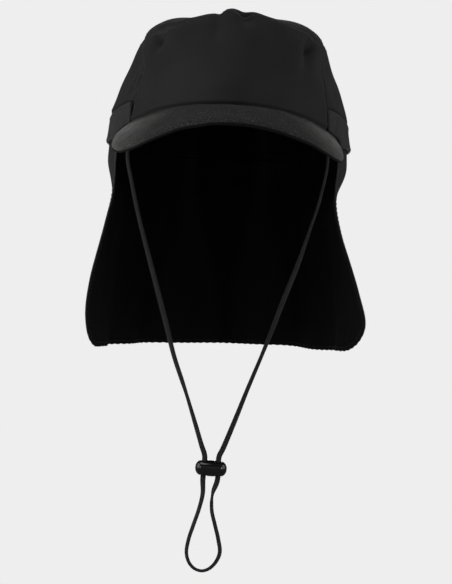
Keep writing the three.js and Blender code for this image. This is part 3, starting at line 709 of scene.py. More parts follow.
def crown_relief(points):
    """Ridge, sag and dents of the crown's cloth."""
    x, y, z = np.moveaxis(points, -1, 0)
    front_half = 1 - smoothstep(y, 0, DENTS_FADE * CROWN_BACK_REACH)
    over_top = smoothstep(z, TOP_STARTS * CROWN_RISE, TOP_FULL * CROWN_RISE)
    behind = behind_ridge(points)
    relief = RIDGE_RAISE * bell(behind, RIDGE_WIDTH) * front_half * over_top
    sag = bell(behind - TOP_SAG_BEHIND, TOP_SAG_LENGTH) * bell(x, TOP_SAG_HALF_WIDTH)
    relief -= TOP_SAG * sag * over_top
    before_ridge = 1 - smoothstep(behind, *DIMPLES_STOP)
    relief -= dents_depth(CROWN_DENTS, x, z) * front_half
    return relief - dents_depth(SHOULDER_DIMPLES, x, z) * front_half * before_ridge


def rumple(points, height, size, seed):
    """Soft uneven waves of a cloth, from a few sines in random directions."""
    draw = np.random.default_rng(seed)
    total = np.zeros(points.shape[:-1])
    for _ in range(RUMPLE_WAVES):
        direction = draw.normal(size=3)
        direction /= np.linalg.norm(direction)
        wave = size * draw.uniform(*RUMPLE_SPREAD)
        total += np.sin(points @ direction * (2 * np.pi / wave) + draw.uniform(0, 2 * np.pi))
    return height * total / RUMPLE_WAVES**0.5


def distance_on_cloth(plane_distance, normal, plane_normal):
    """Distance along the cloth to a cutting plane, from the distance straight to the plane."""
    slope = np.sqrt(np.maximum(1 - (normal @ plane_normal) ** 2, LEAST_SLOPE))
    return np.abs(plane_distance) / slope


def seam_distances(points, normal):
    """Distance along the cloth to the nearest side seam and to the ridge seam."""
    x, y, z = np.moveaxis(points, -1, 0)
    c, s = math.cos(SIDE_SEAM_LEAN), math.sin(SIDE_SEAM_LEAN)
    right = distance_on_cloth((x + side_seam_x(z, -1)) * c, normal, [c, 0, -s])
    left = distance_on_cloth((x - side_seam_x(z)) * c, normal, [c, 0, s])
    across_ridge = [0, math.sin(RIDGE_TILT), math.cos(RIDGE_TILT)]
    ridge = distance_on_cloth(behind_seam(points), normal, across_ridge)
    on_middle = (np.abs(x) < side_seam_x(z, x) + RIDGE_SEAM_PAST) & (y < 0)
    return np.minimum(right, left), np.where(on_middle, ridge, 1.0)


def seam_relief(distance, along):
    """Turned-in edge at a seam, with puckers beside it."""
    turned = -SEAM_DEPTH * bell(distance, SEAM_WIDTH)
    turn = 2 * np.pi * along / PUCKER_PITCH
    ripple = np.sin(turn + PUCKER_WANDER * np.sin(turn / PUCKER_WANDER_PERIOD))
    beside = np.exp(-distance / PUCKER_REACH) * (1 - bell(distance, PUCKER_CLEAR))
    return turned + PUCKER_HEIGHT * ripple * beside


def side_seam_azimuth(z, side=1):
    """Degrees round from the front of the place where a side seam meets a height."""
    width = crown_spans(-1.0, z)[0]
    return np.degrees(np.arcsin(np.clip(side_seam_x(z, side) / width, -1, 1)))


BAND_START = float(side_seam_azimuth(BAND_HEIGHT))


def band_top(azimuth):
    """Height of the band's top edge, which rises towards its front ends."""
    rise = np.maximum(1 - (from_front(azimuth) - BAND_START) / (90 - BAND_START), 0)
    return BAND_HEIGHT + BAND_FRONT_RISE * rise


def band_puff(azimuth, points, side_seam):
    """Puff of the cloth above the band's top edge, and of the front panel before its ends."""
    x, y, z = np.moveaxis(points, -1, 0)
    above = z - band_top(azimuth)
    over = smoothstep(above, *BAND_PUFF_OVER) * np.exp(-np.maximum(above, 0) / BAND_PUFF_REACH)
    in_front = np.abs(x) < side_seam_x(z, x)
    beside = smoothstep(side_seam, *BAND_PUFF_BESIDE) * np.exp(-side_seam / BAND_PUFF_REACH)
    low = 1 - smoothstep(above, *BAND_PUFF_TOP)
    past_seam = np.where(in_front, 0, over)
    return BAND_PUFF * np.where(in_front & (y < 0), beside * low, past_seam)


def crown_cloth(azimuth, level):
    """Points of the finished crown's outer face, its normals, and how pale its marks are: rubbed beside
    the seams, and a painted highlight along the ridge's lip.
    """
    smooth = crown_form(azimuth, level)
    normal = crown_normal(azimuth, np.minimum(level, HIGHEST_NORMAL))
    x, y, z = np.moveaxis(smooth, -1, 0)
    side_seam, ridge_seam = seam_distances(smooth, normal)
    round_crown = PUCKER_RADIUS * np.arctan2(z, -y)
    relief = crown_relief(smooth) + rumple(smooth, RUMPLE_HEIGHT, RUMPLE_SIZE, seed=4)
    fade = 1 - SEAM_FADE * smoothstep(z, *SEAM_FADE_HEIGHTS)
    near_middle = bell(x / RIDGE_LIP_HALF_WIDTH, 1)
    relief += fade * seam_relief(side_seam, round_crown)
    ridge_share = RIDGE_SEAM_LEAST + (1 - RIDGE_SEAM_LEAST) * near_middle
    relief += ridge_share * seam_relief(ridge_seam, x)
    relief += band_puff(azimuth, smooth, side_seam)
    behind = behind_seam(smooth)
    on_middle = ridge_seam < 1
    lip = RIDGE_LIP * bell(behind + RIDGE_LIP_WIDTH, RIDGE_LIP_WIDTH)
    lip -= RIDGE_TUCK * bell(behind - RIDGE_TUCK_BEHIND, RIDGE_TUCK_WIDTH)
    relief += lip * on_middle * near_middle**2
    above_peak = z - peak_join(azimuth)
    over_peak = (y < 0) * (from_front(azimuth) < PEAK_END_AZIMUTH)
    swell = PEAK_SEAM_SWELL * bell(above_peak - PEAK_SWELL_HEIGHT, PEAK_SWELL_WIDTH)
    relief += over_peak * (swell - PEAK_SEAM_DEPTH * bell(above_peak, PEAK_SEAM_WIDTH))
    paleness = SEAM_WEAR * bell(np.minimum(side_seam, ridge_seam), SEAM_WEAR_WIDTH)
    # The pale line along the front panel's lip at the ridge seam is a painted highlight, where the lip
    # would catch the top light.
    paleness += RIDGE_PAINTED_HIGHLIGHT * bell(behind + RIDGE_PAINTED_HIGHLIGHT_BEFORE, RIDGE_PAINTED_HIGHLIGHT_WIDTH) * on_middle * near_middle
    return smooth + normal * relief[..., None], normal, paleness


def crowded(count, strength, ends="both"):
    """Even shares from 0 to 1, drawn closer at both ends, or at the last one."""
    t = np.linspace(0, 1, count)
    if ends == "both":
        return t - strength * np.sin(2 * np.pi * t) / (2 * np.pi)
    return t + strength * np.sin(np.pi * t) / np.pi


def halve(low, high, past, rounds):
    """Closes in on where a test turns true between low and high, by halving the span."""
    for _ in range(rounds):
        middle = (low + high) / 2
        over = past(middle)
        low, high = np.where(over, low, middle), np.where(over, middle, high)
    return low, high


def crown_on_ray(across, swing):
    """Azimuth and level where a ray meets the crown. The ray lies in a plane that leans as the
    side seams do, at a share of the way across to them, and swings up from the front."""

    def shares(reach):
        z = reach * np.sin(swing)
        y = -reach * np.cos(swing)
        width, depth = crown_spans(y, z)
        return across * side_seam_x(z, across) / width, y / depth, z

    def outside(reach):
        x, y, z = shares(reach)
        return (np.hypot(x, y) >= 1) | (z >= CROWN_RISE)

    start = np.zeros(np.broadcast(across, swing).shape)
    x, y, z = shares(halve(start, start + LONGEST_RAY, outside, RAY_HALVINGS)[0])
    return np.degrees(np.arctan2(x, -y)) % 360, crown_level(z)


def swing_at(across, low, high, past):
    """Swing of the ray, for each share across, at which a test of the crown's point turns true."""

    def over(swing):
        azimuth, level = crown_on_ray(across, swing)
        return past(azimuth, crown_form(azimuth, level))

    span = np.full_like(across, low), np.full_like(across, high)
    low, high = halve(*span, over, SWING_HALVINGS)
    return (low + high) / 2


def paling_group():
    """Mask of a cloth's pale marks, broken up by its grain: rubbed and pressed edges, a painted highlight
    along the ridge's lip, and painted light on the peak's ends.
    """
    tree, given, result = effect_group(
        "pale_marks", {"Amount": 0.5, "Patches": 220}, {"Mask": "NodeSocketFloat"}
    )
    edge = add_node(tree, "ShaderNodeAttribute", attribute_name="edge")
    place = add_node(tree, "ShaderNodeTexCoord")
    noise = add_node(
        tree, "ShaderNodeTexNoise",
        {"Vector": place.outputs["Object"], "Scale": given.outputs["Patches"], "Detail": 3},
    )
    broken = calculate(tree, "MULTIPLY", edge.outputs["Fac"], noise.outputs["Fac"])
    mask = calculate(tree, "MULTIPLY", broken, given.outputs["Amount"])
    mask.node.use_clamp = True
    tree.links.new(mask, result.inputs["Mask"])
    return tree


PALING = paling_group()


def nylon_finish(name, dark, light, paleness, gloss, sheen):
    """Thin woven nylon: plain weave, uneven black dye, soft sheen, and paler marks at rubbed edges and at
    painted highlights.
    """
    material, tree, shader = new_finish(
        name, Sheen_Weight=sheen, Sheen_Roughness=0.45, Specular_IOR_Level=gloss
    )
    grain = add_effect(tree, GRAIN, Fine=2600, Coarse=55)
    weave = add_effect(tree, WEAVE, Pitch=0.00042)
    pale_mask = add_effect(tree, PALING, Amount=0.8, Patches=260)
    dyed = blend_colours(tree, grain.outputs["Coarse"], dark, light)
    colour = blend_colours(tree, pale_mask.outputs["Mask"], dyed, paleness)
    rough = uneven(tree, grain.outputs["Fine"], 0.5, 0.68)
    woven = bump(tree, weave.outputs["Height"], 0.00008, 0.5)
    lay_finish(tree, shader, colour, rough, bump(tree, grain.outputs["Coarse"], 0.0006, 0.35, woven))
    return material


# The pale colour marks rubbed seams and hems, and the painted highlight along the ridge's lip.
NYLON = nylon_finish(
    "woven_nylon", dark=(0.009, 0.009, 0.0093), light=(0.015, 0.015, 0.0154),
    paleness=(0.085, 0.085, 0.086), gloss=0.25, sheen=0.08,
)
NYLON_DOUBLED = nylon_finish(
    "doubled_nylon", dark=(0.018, 0.018, 0.0183), light=(0.027, 0.027, 0.0275),
    paleness=(0.05, 0.05, 0.051), gloss=0.25, sheen=0.14,
)
# The inner faces of the crown and flap get a darker, matt copy of the same nylon: painted shade for the
# inside of the cap.
NYLON_PAINTED_SHADE = nylon_finish(
    "nylon_painted_shade", dark=(0.003, 0.003, 0.003), light=(0.0045, 0.0045, 0.0045),
    paleness=(0.02, 0.02, 0.02), gloss=0.12, sheen=0.02,
)


def shell_faces(rows, columns):
    """Quads of a closed shell between an outer and an inner grid of points."""
    outer = np.arange(rows * columns).reshape(rows, columns)
    inner = outer + rows * columns
    border = np.concatenate([outer[0], outer[1:, -1], outer[-1, -2::-1], outer[-2::-1, 0]])
    a, b = border[:-1], border[1:]
    rim = np.stack([b, a, a + rows * columns, b + rows * columns], -1)
    return np.vstack([grid_quads(outer), grid_quads(inner)[:, ::-1], rim])


def flat_places(grid):
    """Each grid point's place on the flat cloth: its run along its row and up its column."""
    across = np.linalg.norm(np.diff(grid, axis=1), axis=2).cumsum(1)
    up = np.linalg.norm(np.diff(grid, axis=0), axis=2).cumsum(0)
    across = np.pad(across, ((0, 0), (1, 0)))
    across -= across[:, grid.shape[1] // 2, None]
    return np.stack([across, np.pad(up, ((1, 0), (0, 0))), np.zeros_like(across)], -1)


def add_cloth(name, outer, inner, edge, material, slot="nylon", inside=None):
    """Cloth piece between two grids of points, with the inner one's own finish if it has one.
    Its flat places, and how pale each point is marked, are kept for the finish: rubbed edges, a painted
    highlight along the ridge and painted light on the peak's ends."""
    vertices = np.concatenate([outer.reshape(-1, 3), inner.reshape(-1, 3)])
    faces = shell_faces(*outer.shape[:2])
    piece = add_piece(name, vertices, faces, material, slot)
    if inside:
        piece.data.materials.append(inside)
        is_inside = (faces >= outer.shape[0] * outer.shape[1]).all(1)
        piece.data.polygons.foreach_set("material_index", is_inside.astype(np.int32))
    keep_places(piece, np.tile(flat_places(outer).reshape(-1, 3), (2, 1)))
    near = piece.data.attributes.new("edge", "FLOAT", "POINT")
    near.data.foreach_set("value", np.tile(edge.ravel(), 2).astype(np.float32))
    return piece


def add_panel(name, azimuth, level):
    """One panel of the crown from its grid of azimuths and levels."""
    outer, normal, paleness = crown_cloth(azimuth, level)
    inner = outer - normal * CROWN_CLOTH
    # Its inner face takes the darker copy of the nylon, which is painted shade.
    return add_cloth(name, outer, inner, paleness, NYLON, inside=NYLON_PAINTED_SHADE)


def middle_grid(low, high, rows, ends):
    """Azimuths and levels of a panel between the side seams, from one swing to another."""
    across = 2 * crowded(PANEL_COLUMNS, PANEL_COLUMNS_CROWDING) - 1
    share = crowded(rows, PANEL_ROWS_CROWDING, ends)[:, None]
    swing = low(across) * (1 - share) + high(across) * share
    return crown_on_ray(np.broadcast_to(across, swing.shape), swing)


def front_edge_swing(across):
    return swing_at(
        across, *FRONT_EDGE_SWINGS, lambda azimuth, points: points[..., 2] > crown_edge(azimuth)
    )


def ridge_swing(across):
    return swing_at(across, *RIDGE_SWINGS, lambda azimuth, points: behind_seam(points) > 0)


def back_edge_swing(across):
    return swing_at(
        across, *BACK_EDGE_SWINGS, lambda azimuth, points: points[..., 2] < CROWN_EDGE_HEIGHT
    )


def side_grid(side):
    """Azimuths and levels of a side panel: level rows that end at the side seams."""

    def narrow(z):
        return crown_spans(0 * z, z)[0] <= side_seam_x(z, side)

    tip = halve(np.zeros(1), np.full(1, CROWN_RISE), narrow, TIP_HALVINGS)[0][0]
    share = np.linspace(0, SIDE_ROWS_END, PANEL_ROWS)[:, None]
    row = tip - (tip - CROWN_EDGE_HEIGHT) * (1 - share) ** SIDE_ROWS_CROWDING
    start = side_seam_azimuth(row, side)
    azimuth = start + (180 - 2 * start) * crowded(PANEL_COLUMNS, SIDE_COLUMNS_CROWDING)[None, :]
    edge = crown_edge(azimuth)
    z = edge + (tip - edge) * (row - CROWN_EDGE_HEIGHT) / (tip - CROWN_EDGE_HEIGHT)
    if side < 0:
        azimuth, z = 360 - azimuth[:, ::-1], z[:, ::-1]
    return azimuth, crown_level(z)


front_grid = middle_grid(front_edge_swing, ridge_swing, PANEL_ROWS, "last")
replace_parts(add_panel("front_panel", *front_grid), "crown_front")
top_grid = middle_grid(ridge_swing, back_edge_swing, TOP_PANEL_ROWS, "both")
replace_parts(add_panel("top_panel", *top_grid), "crown_top")
for name, side in (("left", 1), ("right", -1)):
    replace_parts(add_panel(f"side_panel_{name}", *side_grid(side)), f"crown_side_{name}")

# The side band is a doubled strip of the same nylon, sewn over the crown's lower edge from
# one front seam round the back to the other. Its front ends are caught in the front seams.
BAND_CLOTH = 0.0018
BAND_OVER_PEAK = 0.0007
SEAM_GAP = 0.0003
BAND_DIP_START = 0.5
BAND_DIP_END = 5.5
BAND_SIDE_ROUND = 0.0011
BAND_END_ROUND = 0.0016
BAND_LEAST_CLOTH = 0.0002
# A slanted fold near the left front end: depth, distance from the end, slant and half width.
BAND_FOLD = 0.5
BAND_FOLD_PLACE = 0.006
BAND_FOLD_SLANT = 0.007
BAND_FOLD_WIDTH = 0.0012
# Share of the way up the band at which the fold is deepest, and the reach to both sides.
BAND_FOLD_MIDDLE = 0.4
BAND_FOLD_REACH = 0.4
# Degrees by which its front ends stay clear of the seams, and over which their lean fades.
BAND_END_CLEAR = 0.25
BAND_END_EASE = 4
BAND_WEAR_WIDTH = 0.0015
BAND_LEAST_LEVEL = 0.012
BAND_CROWDING = 0.8
BAND_RUMPLE_HEIGHT = 0.0003
BAND_RUMPLE_SIZE = 0.02
BAND_COLUMNS = 620
BAND_ROWS = 26


def rounded(distance, radius):
    """Share of the full thickness near a rounded edge."""
    return np.sqrt(1 - (1 - np.clip(distance / radius, 0, 1)) ** 2)


def band_edges(azimuth):
    """Lower and upper edge of the band."""
    past_peak = from_front(azimuth) - PEAK_END_AZIMUTH
    past_peak = smoothstep(past_peak, BAND_DIP_START, BAND_DIP_END)
    bottom = (peak_join(azimuth) - BAND_OVER_PEAK) * (1 - past_peak)
    return bottom, band_top(azimuth)


def band_points(azimuth, share, lift):
    """Points lifted off the crown at shares of the way up the band, and their normals."""
    bottom, top = band_edges(azimuth)
    z = bottom + (top - bottom) * share
    level = np.maximum(crown_level(z), BAND_LEAST_LEVEL)
    smooth = crown_form(azimuth, level)
    normal = crown_normal(azimuth, level)
    relief = crown_relief(smooth) + rumple(smooth, BAND_RUMPLE_HEIGHT, BAND_RUMPLE_SIZE, seed=9)
    points = smooth + normal * (relief + lift)[..., None]
    points[..., 2] = z
    return points, normal


def make_band():
    azimuth = BAND_START + (360 - 2 * BAND_START) * crowded(BAND_COLUMNS, BAND_CROWDING)[None, :]
    share = crowded(BAND_ROWS, BAND_CROWDING)[:, None]
    bottom, top = band_edges(azimuth)
    # The front ends follow the side seams, which lean.
    height = bottom + (top - bottom) * share
    shift = side_seam_azimuth(height) - BAND_START + BAND_END_CLEAR
    side = np.where(azimuth < 180, 1, -1)
    near_end = np.exp(-(from_front(azimuth) - BAND_START) / BAND_END_EASE)
    azimuth = azimuth + side * shift * near_end
    from_edge = np.minimum(share, 1 - share) * (top - bottom)
    from_end = np.radians(from_front(azimuth) - BAND_START - shift) * CROWN_HALF_WIDTH
    thick = rounded(from_edge, BAND_SIDE_ROUND) * rounded(from_end, BAND_END_ROUND)
    from_fold = from_end - BAND_FOLD_PLACE - BAND_FOLD_SLANT * share
    fold = BAND_FOLD * bell(from_fold, BAND_FOLD_WIDTH)
    fold = fold * bell(share - BAND_FOLD_MIDDLE, BAND_FOLD_REACH) * (azimuth < 180)
    cloth = (BAND_CLOTH - BAND_LEAST_CLOTH) * thick * (1 - fold) + BAND_LEAST_CLOTH
    lift = SEAM_GAP + cloth
    outer, _ = band_points(azimuth, share, lift)
    inner, _ = band_points(azimuth, share, np.full_like(lift, SEAM_GAP))
    edge = bell(np.minimum(from_edge, from_end), BAND_WEAR_WIDTH)
    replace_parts(add_cloth("band_cloth", outer, inner, edge, NYLON_DOUBLED), "side_band")


make_band()

# The peak is soft foam, about 4 mm thick, covered in grey-black cloth with a fine fleck, and
# moulded with a rounded edge. It is sewn to the crown's front edge and bends down at its sides.
PEAK_HALF_WIDTH = 0.0743
PEAK_REACH = 0.069
PEAK_THICKNESS = 0.0045
PEAK_END_BACK = 0.00343
PEAK_TIP_HEIGHT = 0.0025
PEAK_SINK = 0.0125
PEAK_CAMBER = 0.0022
PEAK_EDGE_ROUND = 0.0024
PEAK_EDGE_LEAST = 0.04
PEAK_EDGE_SHARE = 0.4
PEAK_EDGE_ROWS = 9
PEAK_ROWS = 39
PEAK_COLUMNS = 240
PEAK_RUMPLE_HEIGHT = 0.00025
PEAK_RUMPLE_SIZE = 0.022
# Both faces are drawn in a little where the peak is sewn to the crown.
PEAK_TUCK = 0.0012
PEAK_TUCK_WIDTH = 0.001
# Shares of the way to the peak's ends between which the cloth is painted paler: painted light where the
# side lamps fall on the ends.
PEAK_PAINTED_LIGHT = (0.3, 1.05)
PEAK_PAINTED_LIGHT_FROM_SEAM = (0.001, 0.012)
FLECK_STRETCH = (1, 0.12, 1)
# Outline from the middle to an end: shares of the half width, of the whole depth and of the sink.
PEAK_OUTLINE = dict(
    across=[0, 0.2, 0.4, 0.6, 0.77, 0.9, 0.97, 1, 0.995, 0.965],
    forward=[1, 0.985, 0.935, 0.84, 0.7, 0.52, 0.34, 0.2, 0.09, 0],
    sink_right=[0, 0.07, 0.3, 0.7, 1.06, 1.12, 0.88, 0.52, 0.2, -0.1],
    sink_left=[0, 0.04, 0.21, 0.5, 0.84, 1.08, 1.03, 0.75, 0.38, 0],
)


def crown_skin(azimuth, level):
    """The crown with its dents, but without its seams and rumples."""
    smooth = crown_form(azimuth, level)
    return smooth + crown_normal(azimuth, level) * crown_relief(smooth)[..., None]


def peak_rays(share):
    """Root at the crown and tip at the edge of the peak's rays, shares from -1 to 1."""
    azimuth = share * PEAK_END_AZIMUTH
    join = peak_join(azimuth)
    level = crown_level(join - PEAK_THICKNESS)
    root = crown_skin(azimuth, level) + crown_normal(azimuth, level, crown_skin) * SEAM_GAP
    root[..., 2] = join
    end = crown_form(np.array([float(PEAK_END_AZIMUTH)]), np.zeros(1))[0]
    back = end[1] + PEAK_END_BACK
    column = {name: smooth_column(PEAK_OUTLINE, name, np.abs(share)) for name in PEAK_OUTLINE}
    sink = np.where(share > 0, column["sink_left"], column["sink_right"])
    x = np.sign(share) * column["across"] * PEAK_HALF_WIDTH
    y = back + (-CROWN_FRONT_REACH - PEAK_REACH - back) * column["forward"]
    return root, np.stack([x, y, PEAK_TIP_HEIGHT - sink * PEAK_SINK], -1)


def fleck_group():
    """Mask of fine pale flecks, like the fibres of a brushed cloth, drawn out along Y."""
    tree, given, result = effect_group("fleck", {"Size": 900, "Share": 0.6}, {"Mask": "NodeSocketFloat"})
    place = add_node(tree, "ShaderNodeTexCoord").outputs["Object"]
    stretched = add_node(tree, "ShaderNodeMapping", {"Vector": place, "Scale": FLECK_STRETCH})
    noise = add_node(
        tree, "ShaderNodeTexNoise",
        {"Vector": stretched.outputs[0], "Scale": given.outputs["Size"], "Detail": 3, "Roughness": 0.7},
    )
    ramp = add_node(
        tree, "ShaderNodeMapRange",
        {"Value": noise.outputs["Fac"], "From Min": given.outputs["Share"], "From Max": 0.68},
        interpolation_type="SMOOTHSTEP",
    )
    tree.links.new(ramp.outputs["Result"], result.inputs["Mask"])
    return tree


FLECK = fleck_group()


def lining_finish():
    """Plain black knit that lines the peak's underside and turns up over its edge."""
    material, tree, shader = new_finish("black_lining", Sheen_Weight=0.02, Specular_IOR_Level=0.1)
    grain = add_effect(tree, GRAIN, Fine=2200, Coarse=90)
    colour = blend_colours(tree, grain.outputs["Coarse"], (0.008, 0.008, 0.008), (0.013, 0.013, 0.013))
    rough = uneven(tree, grain.outputs["Fine"], 0.75, 0.92)
    lay_finish(tree, shader, colour, rough, bump(tree, grain.outputs["Fine"], 0.0003, 0.5))
    return material


def foam_finish():
    """Grey-black brushed cloth over foam, with pale flecks, and ends painted paler as painted light."""
    material, tree, shader = new_finish(
        "flecked_foam", Sheen_Weight=0.02, Sheen_Roughness=0.5, Specular_IOR_Level=0.08
    )
    grain = add_effect(tree, GRAIN, Fine=1500, Coarse=70)
    fleck = add_effect(tree, FLECK, Size=1150, Share=0.52)
    pale_mask = add_effect(tree, PALING, Amount=1.0, Patches=180)
    ground = blend_colours(tree, grain.outputs["Coarse"], (0.025, 0.025, 0.0245), (0.034, 0.034, 0.0335))
    flecked = blend_colours(tree, fleck.outputs["Mask"], ground, (0.11, 0.11, 0.108))
    # The pale patches towards the peak's ends are painted light from the side lamps.
    colour = blend_colours(tree, pale_mask.outputs["Mask"], flecked, (0.42, 0.42, 0.41))
    rough = uneven(tree, grain.outputs["Fine"], 0.75, 0.92)
    fuzzy = bump(tree, grain.outputs["Fine"], 0.0003, 0.5)
    lay_finish(tree, shader, colour, rough, bump(tree, fleck.outputs["Mask"], 0.0002, 0.5, fuzzy))
    return material


def make_peak():
    share = (2 * np.linspace(0, 1, PEAK_COLUMNS) - 1)[None, :]
    root, tip = peak_rays(share)
    length = np.linalg.norm(tip - root, axis=-1)
    edge_round = np.minimum(PEAK_EDGE_ROUND, PEAK_EDGE_SHARE * length)
    bend = np.linspace(0, np.pi / 2, PEAK_EDGE_ROWS)[:, None]
    near = edge_round * (1 - np.cos(bend))
    far = edge_round + (length - edge_round) * np.linspace(0, 1, PEAK_ROWS + 1)[1:, None]
    from_edge = np.concatenate([near, far])[::-1]
    out = 1 - from_edge / length
    points = root + (tip - root) * out[..., None]
    points[..., 2] += np.sin(np.pi * out) * PEAK_CAMBER * length / PEAK_REACH
    thick = PEAK_EDGE_LEAST + (1 - PEAK_EDGE_LEAST) * rounded(from_edge, edge_round)
    thick = PEAK_THICKNESS * thick
    from_root = length - from_edge
    tuck = PEAK_TUCK * bell(from_root, PEAK_TUCK_WIDTH)
    ripple = rumple(points, PEAK_RUMPLE_HEIGHT, PEAK_RUMPLE_SIZE, seed=2)
    faces = []
    for face in (1, -1):
        side = points.copy()
        side[..., 2] += ripple - PEAK_THICKNESS / 2 + face * (thick / 2 - tuck)
        faces.append(side)
    # The peak's ends are painted paler, as painted light from the side lamps, away from the crown seam.
    painted_light_ends = smoothstep(np.abs(share), *PEAK_PAINTED_LIGHT)
    painted_light_ends = painted_light_ends * smoothstep(from_root, *PEAK_PAINTED_LIGHT_FROM_SEAM)
    top, underside = faces
    peak = add_cloth("peak_foam", underside, top, painted_light_ends, lining_finish(), "foam", foam_finish())
    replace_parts(peak, "peak")


make_peak()

# The neck flap is one piece of the same thin nylon, sewn under the band and hemmed all round
# its free edge. It hangs open at the face, and its front corners are rounded.
FLAP_FRONT_AZIMUTH = 63
FLAP_DROP = 0.136
FLAP_CLOTH = 0.0013
FLAP_CORNER_RIGHT = 0.0155
FLAP_CORNER_LEFT = 0.030
# How full a corner's curve is: 2 makes a circle's.
CORNER_POWER = 2.8
FLAP_TILT = 0.0016
FLAP_SAG = 0.0016
FLAP_SAG_AZIMUTH = 118
FLAP_SAG_SPAN = 18
# Degrees back from the free edge over which the flap flares out, at its top and at its hem.
FLAP_FLARE_TOP = 52
FLAP_FLARE_HEM = 26
FLAP_FOLD = 0.0026
FLAP_FOLD_COUNT = 6
FLAP_FOLD_START = 8
FLAP_FOLD_FULL = 34
FLAP_FOLD_POWER = 1.3
FLAP_PUFF = 0.0008
FLAP_PUFF_DROP = 0.012
FLAP_PUFF_HEIGHT = 0.008
FLAP_RUMPLE_HEIGHT = 0.0007
FLAP_RUMPLE_SIZE = 0.03
FLAP_RUMPLE_DROP = 0.25
# The rumples are drawn out downwards.
FLAP_RUMPLE_STRETCH = [1, 1, 0.35]
HEM_WIDTH = 0.0026
HEM_STEP = 0.0004
HEM_EXTRA_CLOTH = 0.45
HEM_CREASE = 0.3
HEM_ROUND = 0.0006
HEM_WEAR_WIDTH = 0.0012
HEM_ROWS = 25
HEM_SHARE = 0.05
# Shares of the cloth's thickness: on the plain cloth, and at its very edge.
FLAP_BODY = 0.8
FLAP_EDGE_LEAST = 0.08
SCALLOP_DEPTH = 0.0006
SCALLOP_PITCH = 0.006
SCALLOP_REACH = 0.03
FLAP_COLUMNS = 420
FLAP_COLUMNS_CROWDING = 0.93
FLAP_ROWS = 86
# Level sections from the top to the hem, as shares of the crown's half width and reach.
FLAP_SECTIONS = dict(
    drop=[0, 0.12, 0.27, 0.4, 0.55, 0.7, 0.85, 1],
    right=[1, 0.985, 0.905, 0.91, 0.935, 0.955, 0.97, 0.98],
    left=[1, 0.98, 0.885, 0.895, 0.93, 0.955, 0.98, 0.99],
    edge_right=[0.891, 0.9, 0.92, 0.975, 1.035, 1.085, 1.11, 1.08],
    edge_left=[0.891, 0.89, 0.89, 0.945, 1.035, 1.12, 1.185, 1.17],
    back=[1, 1, 1, 1.005, 1.01, 1.02, 1.035, 1.05],
    front=[1, 1, 0.98, 0.96, 0.94, 0.92, 0.9, 0.88],
)
HEIGHT_STEP = 0.001
FLAP_SHARES = np.linspace(0, 1, 2001)
FLAP_SHARE_DROPS = smooth_column(FLAP_SECTIONS, "drop", FLAP_SHARES)


def flap_form(azimuth, z):
    """The flap's smooth surface: level sections whose free edges flare out towards the hem."""
    drop = np.clip(-z / FLAP_DROP, 0, 1)
    row = np.interp(drop, FLAP_SHARE_DROPS, FLAP_SHARES)
    angle = np.radians(azimuth)
    on_left = azimuth < 180
    flare_span = FLAP_FLARE_TOP + (FLAP_FLARE_HEM - FLAP_FLARE_TOP) * drop
    flare = np.clip(1 - (from_front(azimuth) - FLAP_FRONT_AZIMUTH) / flare_span, 0, 1) ** 2
    column = {name: smooth_column(FLAP_SECTIONS, name, row) for name in FLAP_SECTIONS}
    width = np.where(on_left, column["left"], column["right"])
    edge = np.where(on_left, column["edge_left"], column["edge_right"])
    spread_out = edge - width * math.sin(math.radians(FLAP_FRONT_AZIMUTH))
    front, back = CROWN_FRONT_REACH * column["front"], CROWN_BACK_REACH * column["back"]
    reach = np.where(np.cos(angle) > 0, front, back)
    x = CROWN_HALF_WIDTH * (width * np.sin(angle) + np.where(on_left, 1, -1) * spread_out * flare)
    return np.stack([x, -reach * np.cos(angle), z + 0 * x], -1)


def flap_normal(azimuth, z, surface):
    return surface_normal(surface, azimuth, z, HEIGHT_STEP)


def flap_surface(azimuth, z):
    """The hanging cloth with its long folds, which grow towards the hem."""
    points = flap_form(azimuth, z)
    drop = np.clip(-z / FLAP_DROP, 0, 1)
    from_edge = from_front(azimuth) - FLAP_FRONT_AZIMUTH
    wave = np.cos(np.pi * FLAP_FOLD_COUNT * from_edge / (180 - FLAP_FRONT_AZIMUTH))
    folded = smoothstep(from_edge, FLAP_FOLD_START, FLAP_FOLD_FULL)
    relief = FLAP_FOLD * drop**FLAP_FOLD_POWER * wave * folded
    relief += FLAP_PUFF * bell(-z - FLAP_PUFF_DROP, FLAP_PUFF_HEIGHT) - SEAM_GAP
    drawn_out = points * FLAP_RUMPLE_STRETCH
    rumples = rumple(drawn_out, FLAP_RUMPLE_HEIGHT, FLAP_RUMPLE_SIZE, seed=7)
    relief += rumples * smoothstep(drop, 0.0, FLAP_RUMPLE_DROP)
    return points + flap_normal(azimuth, z, flap_form) * relief[..., None]


def flap_middle(azimuth, z):
    """Middle of the flap's cloth, and its normal."""
    normal = flap_normal(azimuth, z, flap_surface)
    return flap_surface(azimuth, z) - normal * (FLAP_CLOTH / 2), normal


def hem_height(azimuth):
    """Height of the hem, which is tilted and sags on the left."""
    sag = FLAP_SAG * bell(azimuth - FLAP_SAG_AZIMUTH, FLAP_SAG_SPAN)
    return FLAP_TILT * np.sin(np.radians(azimuth)) - FLAP_DROP - sag


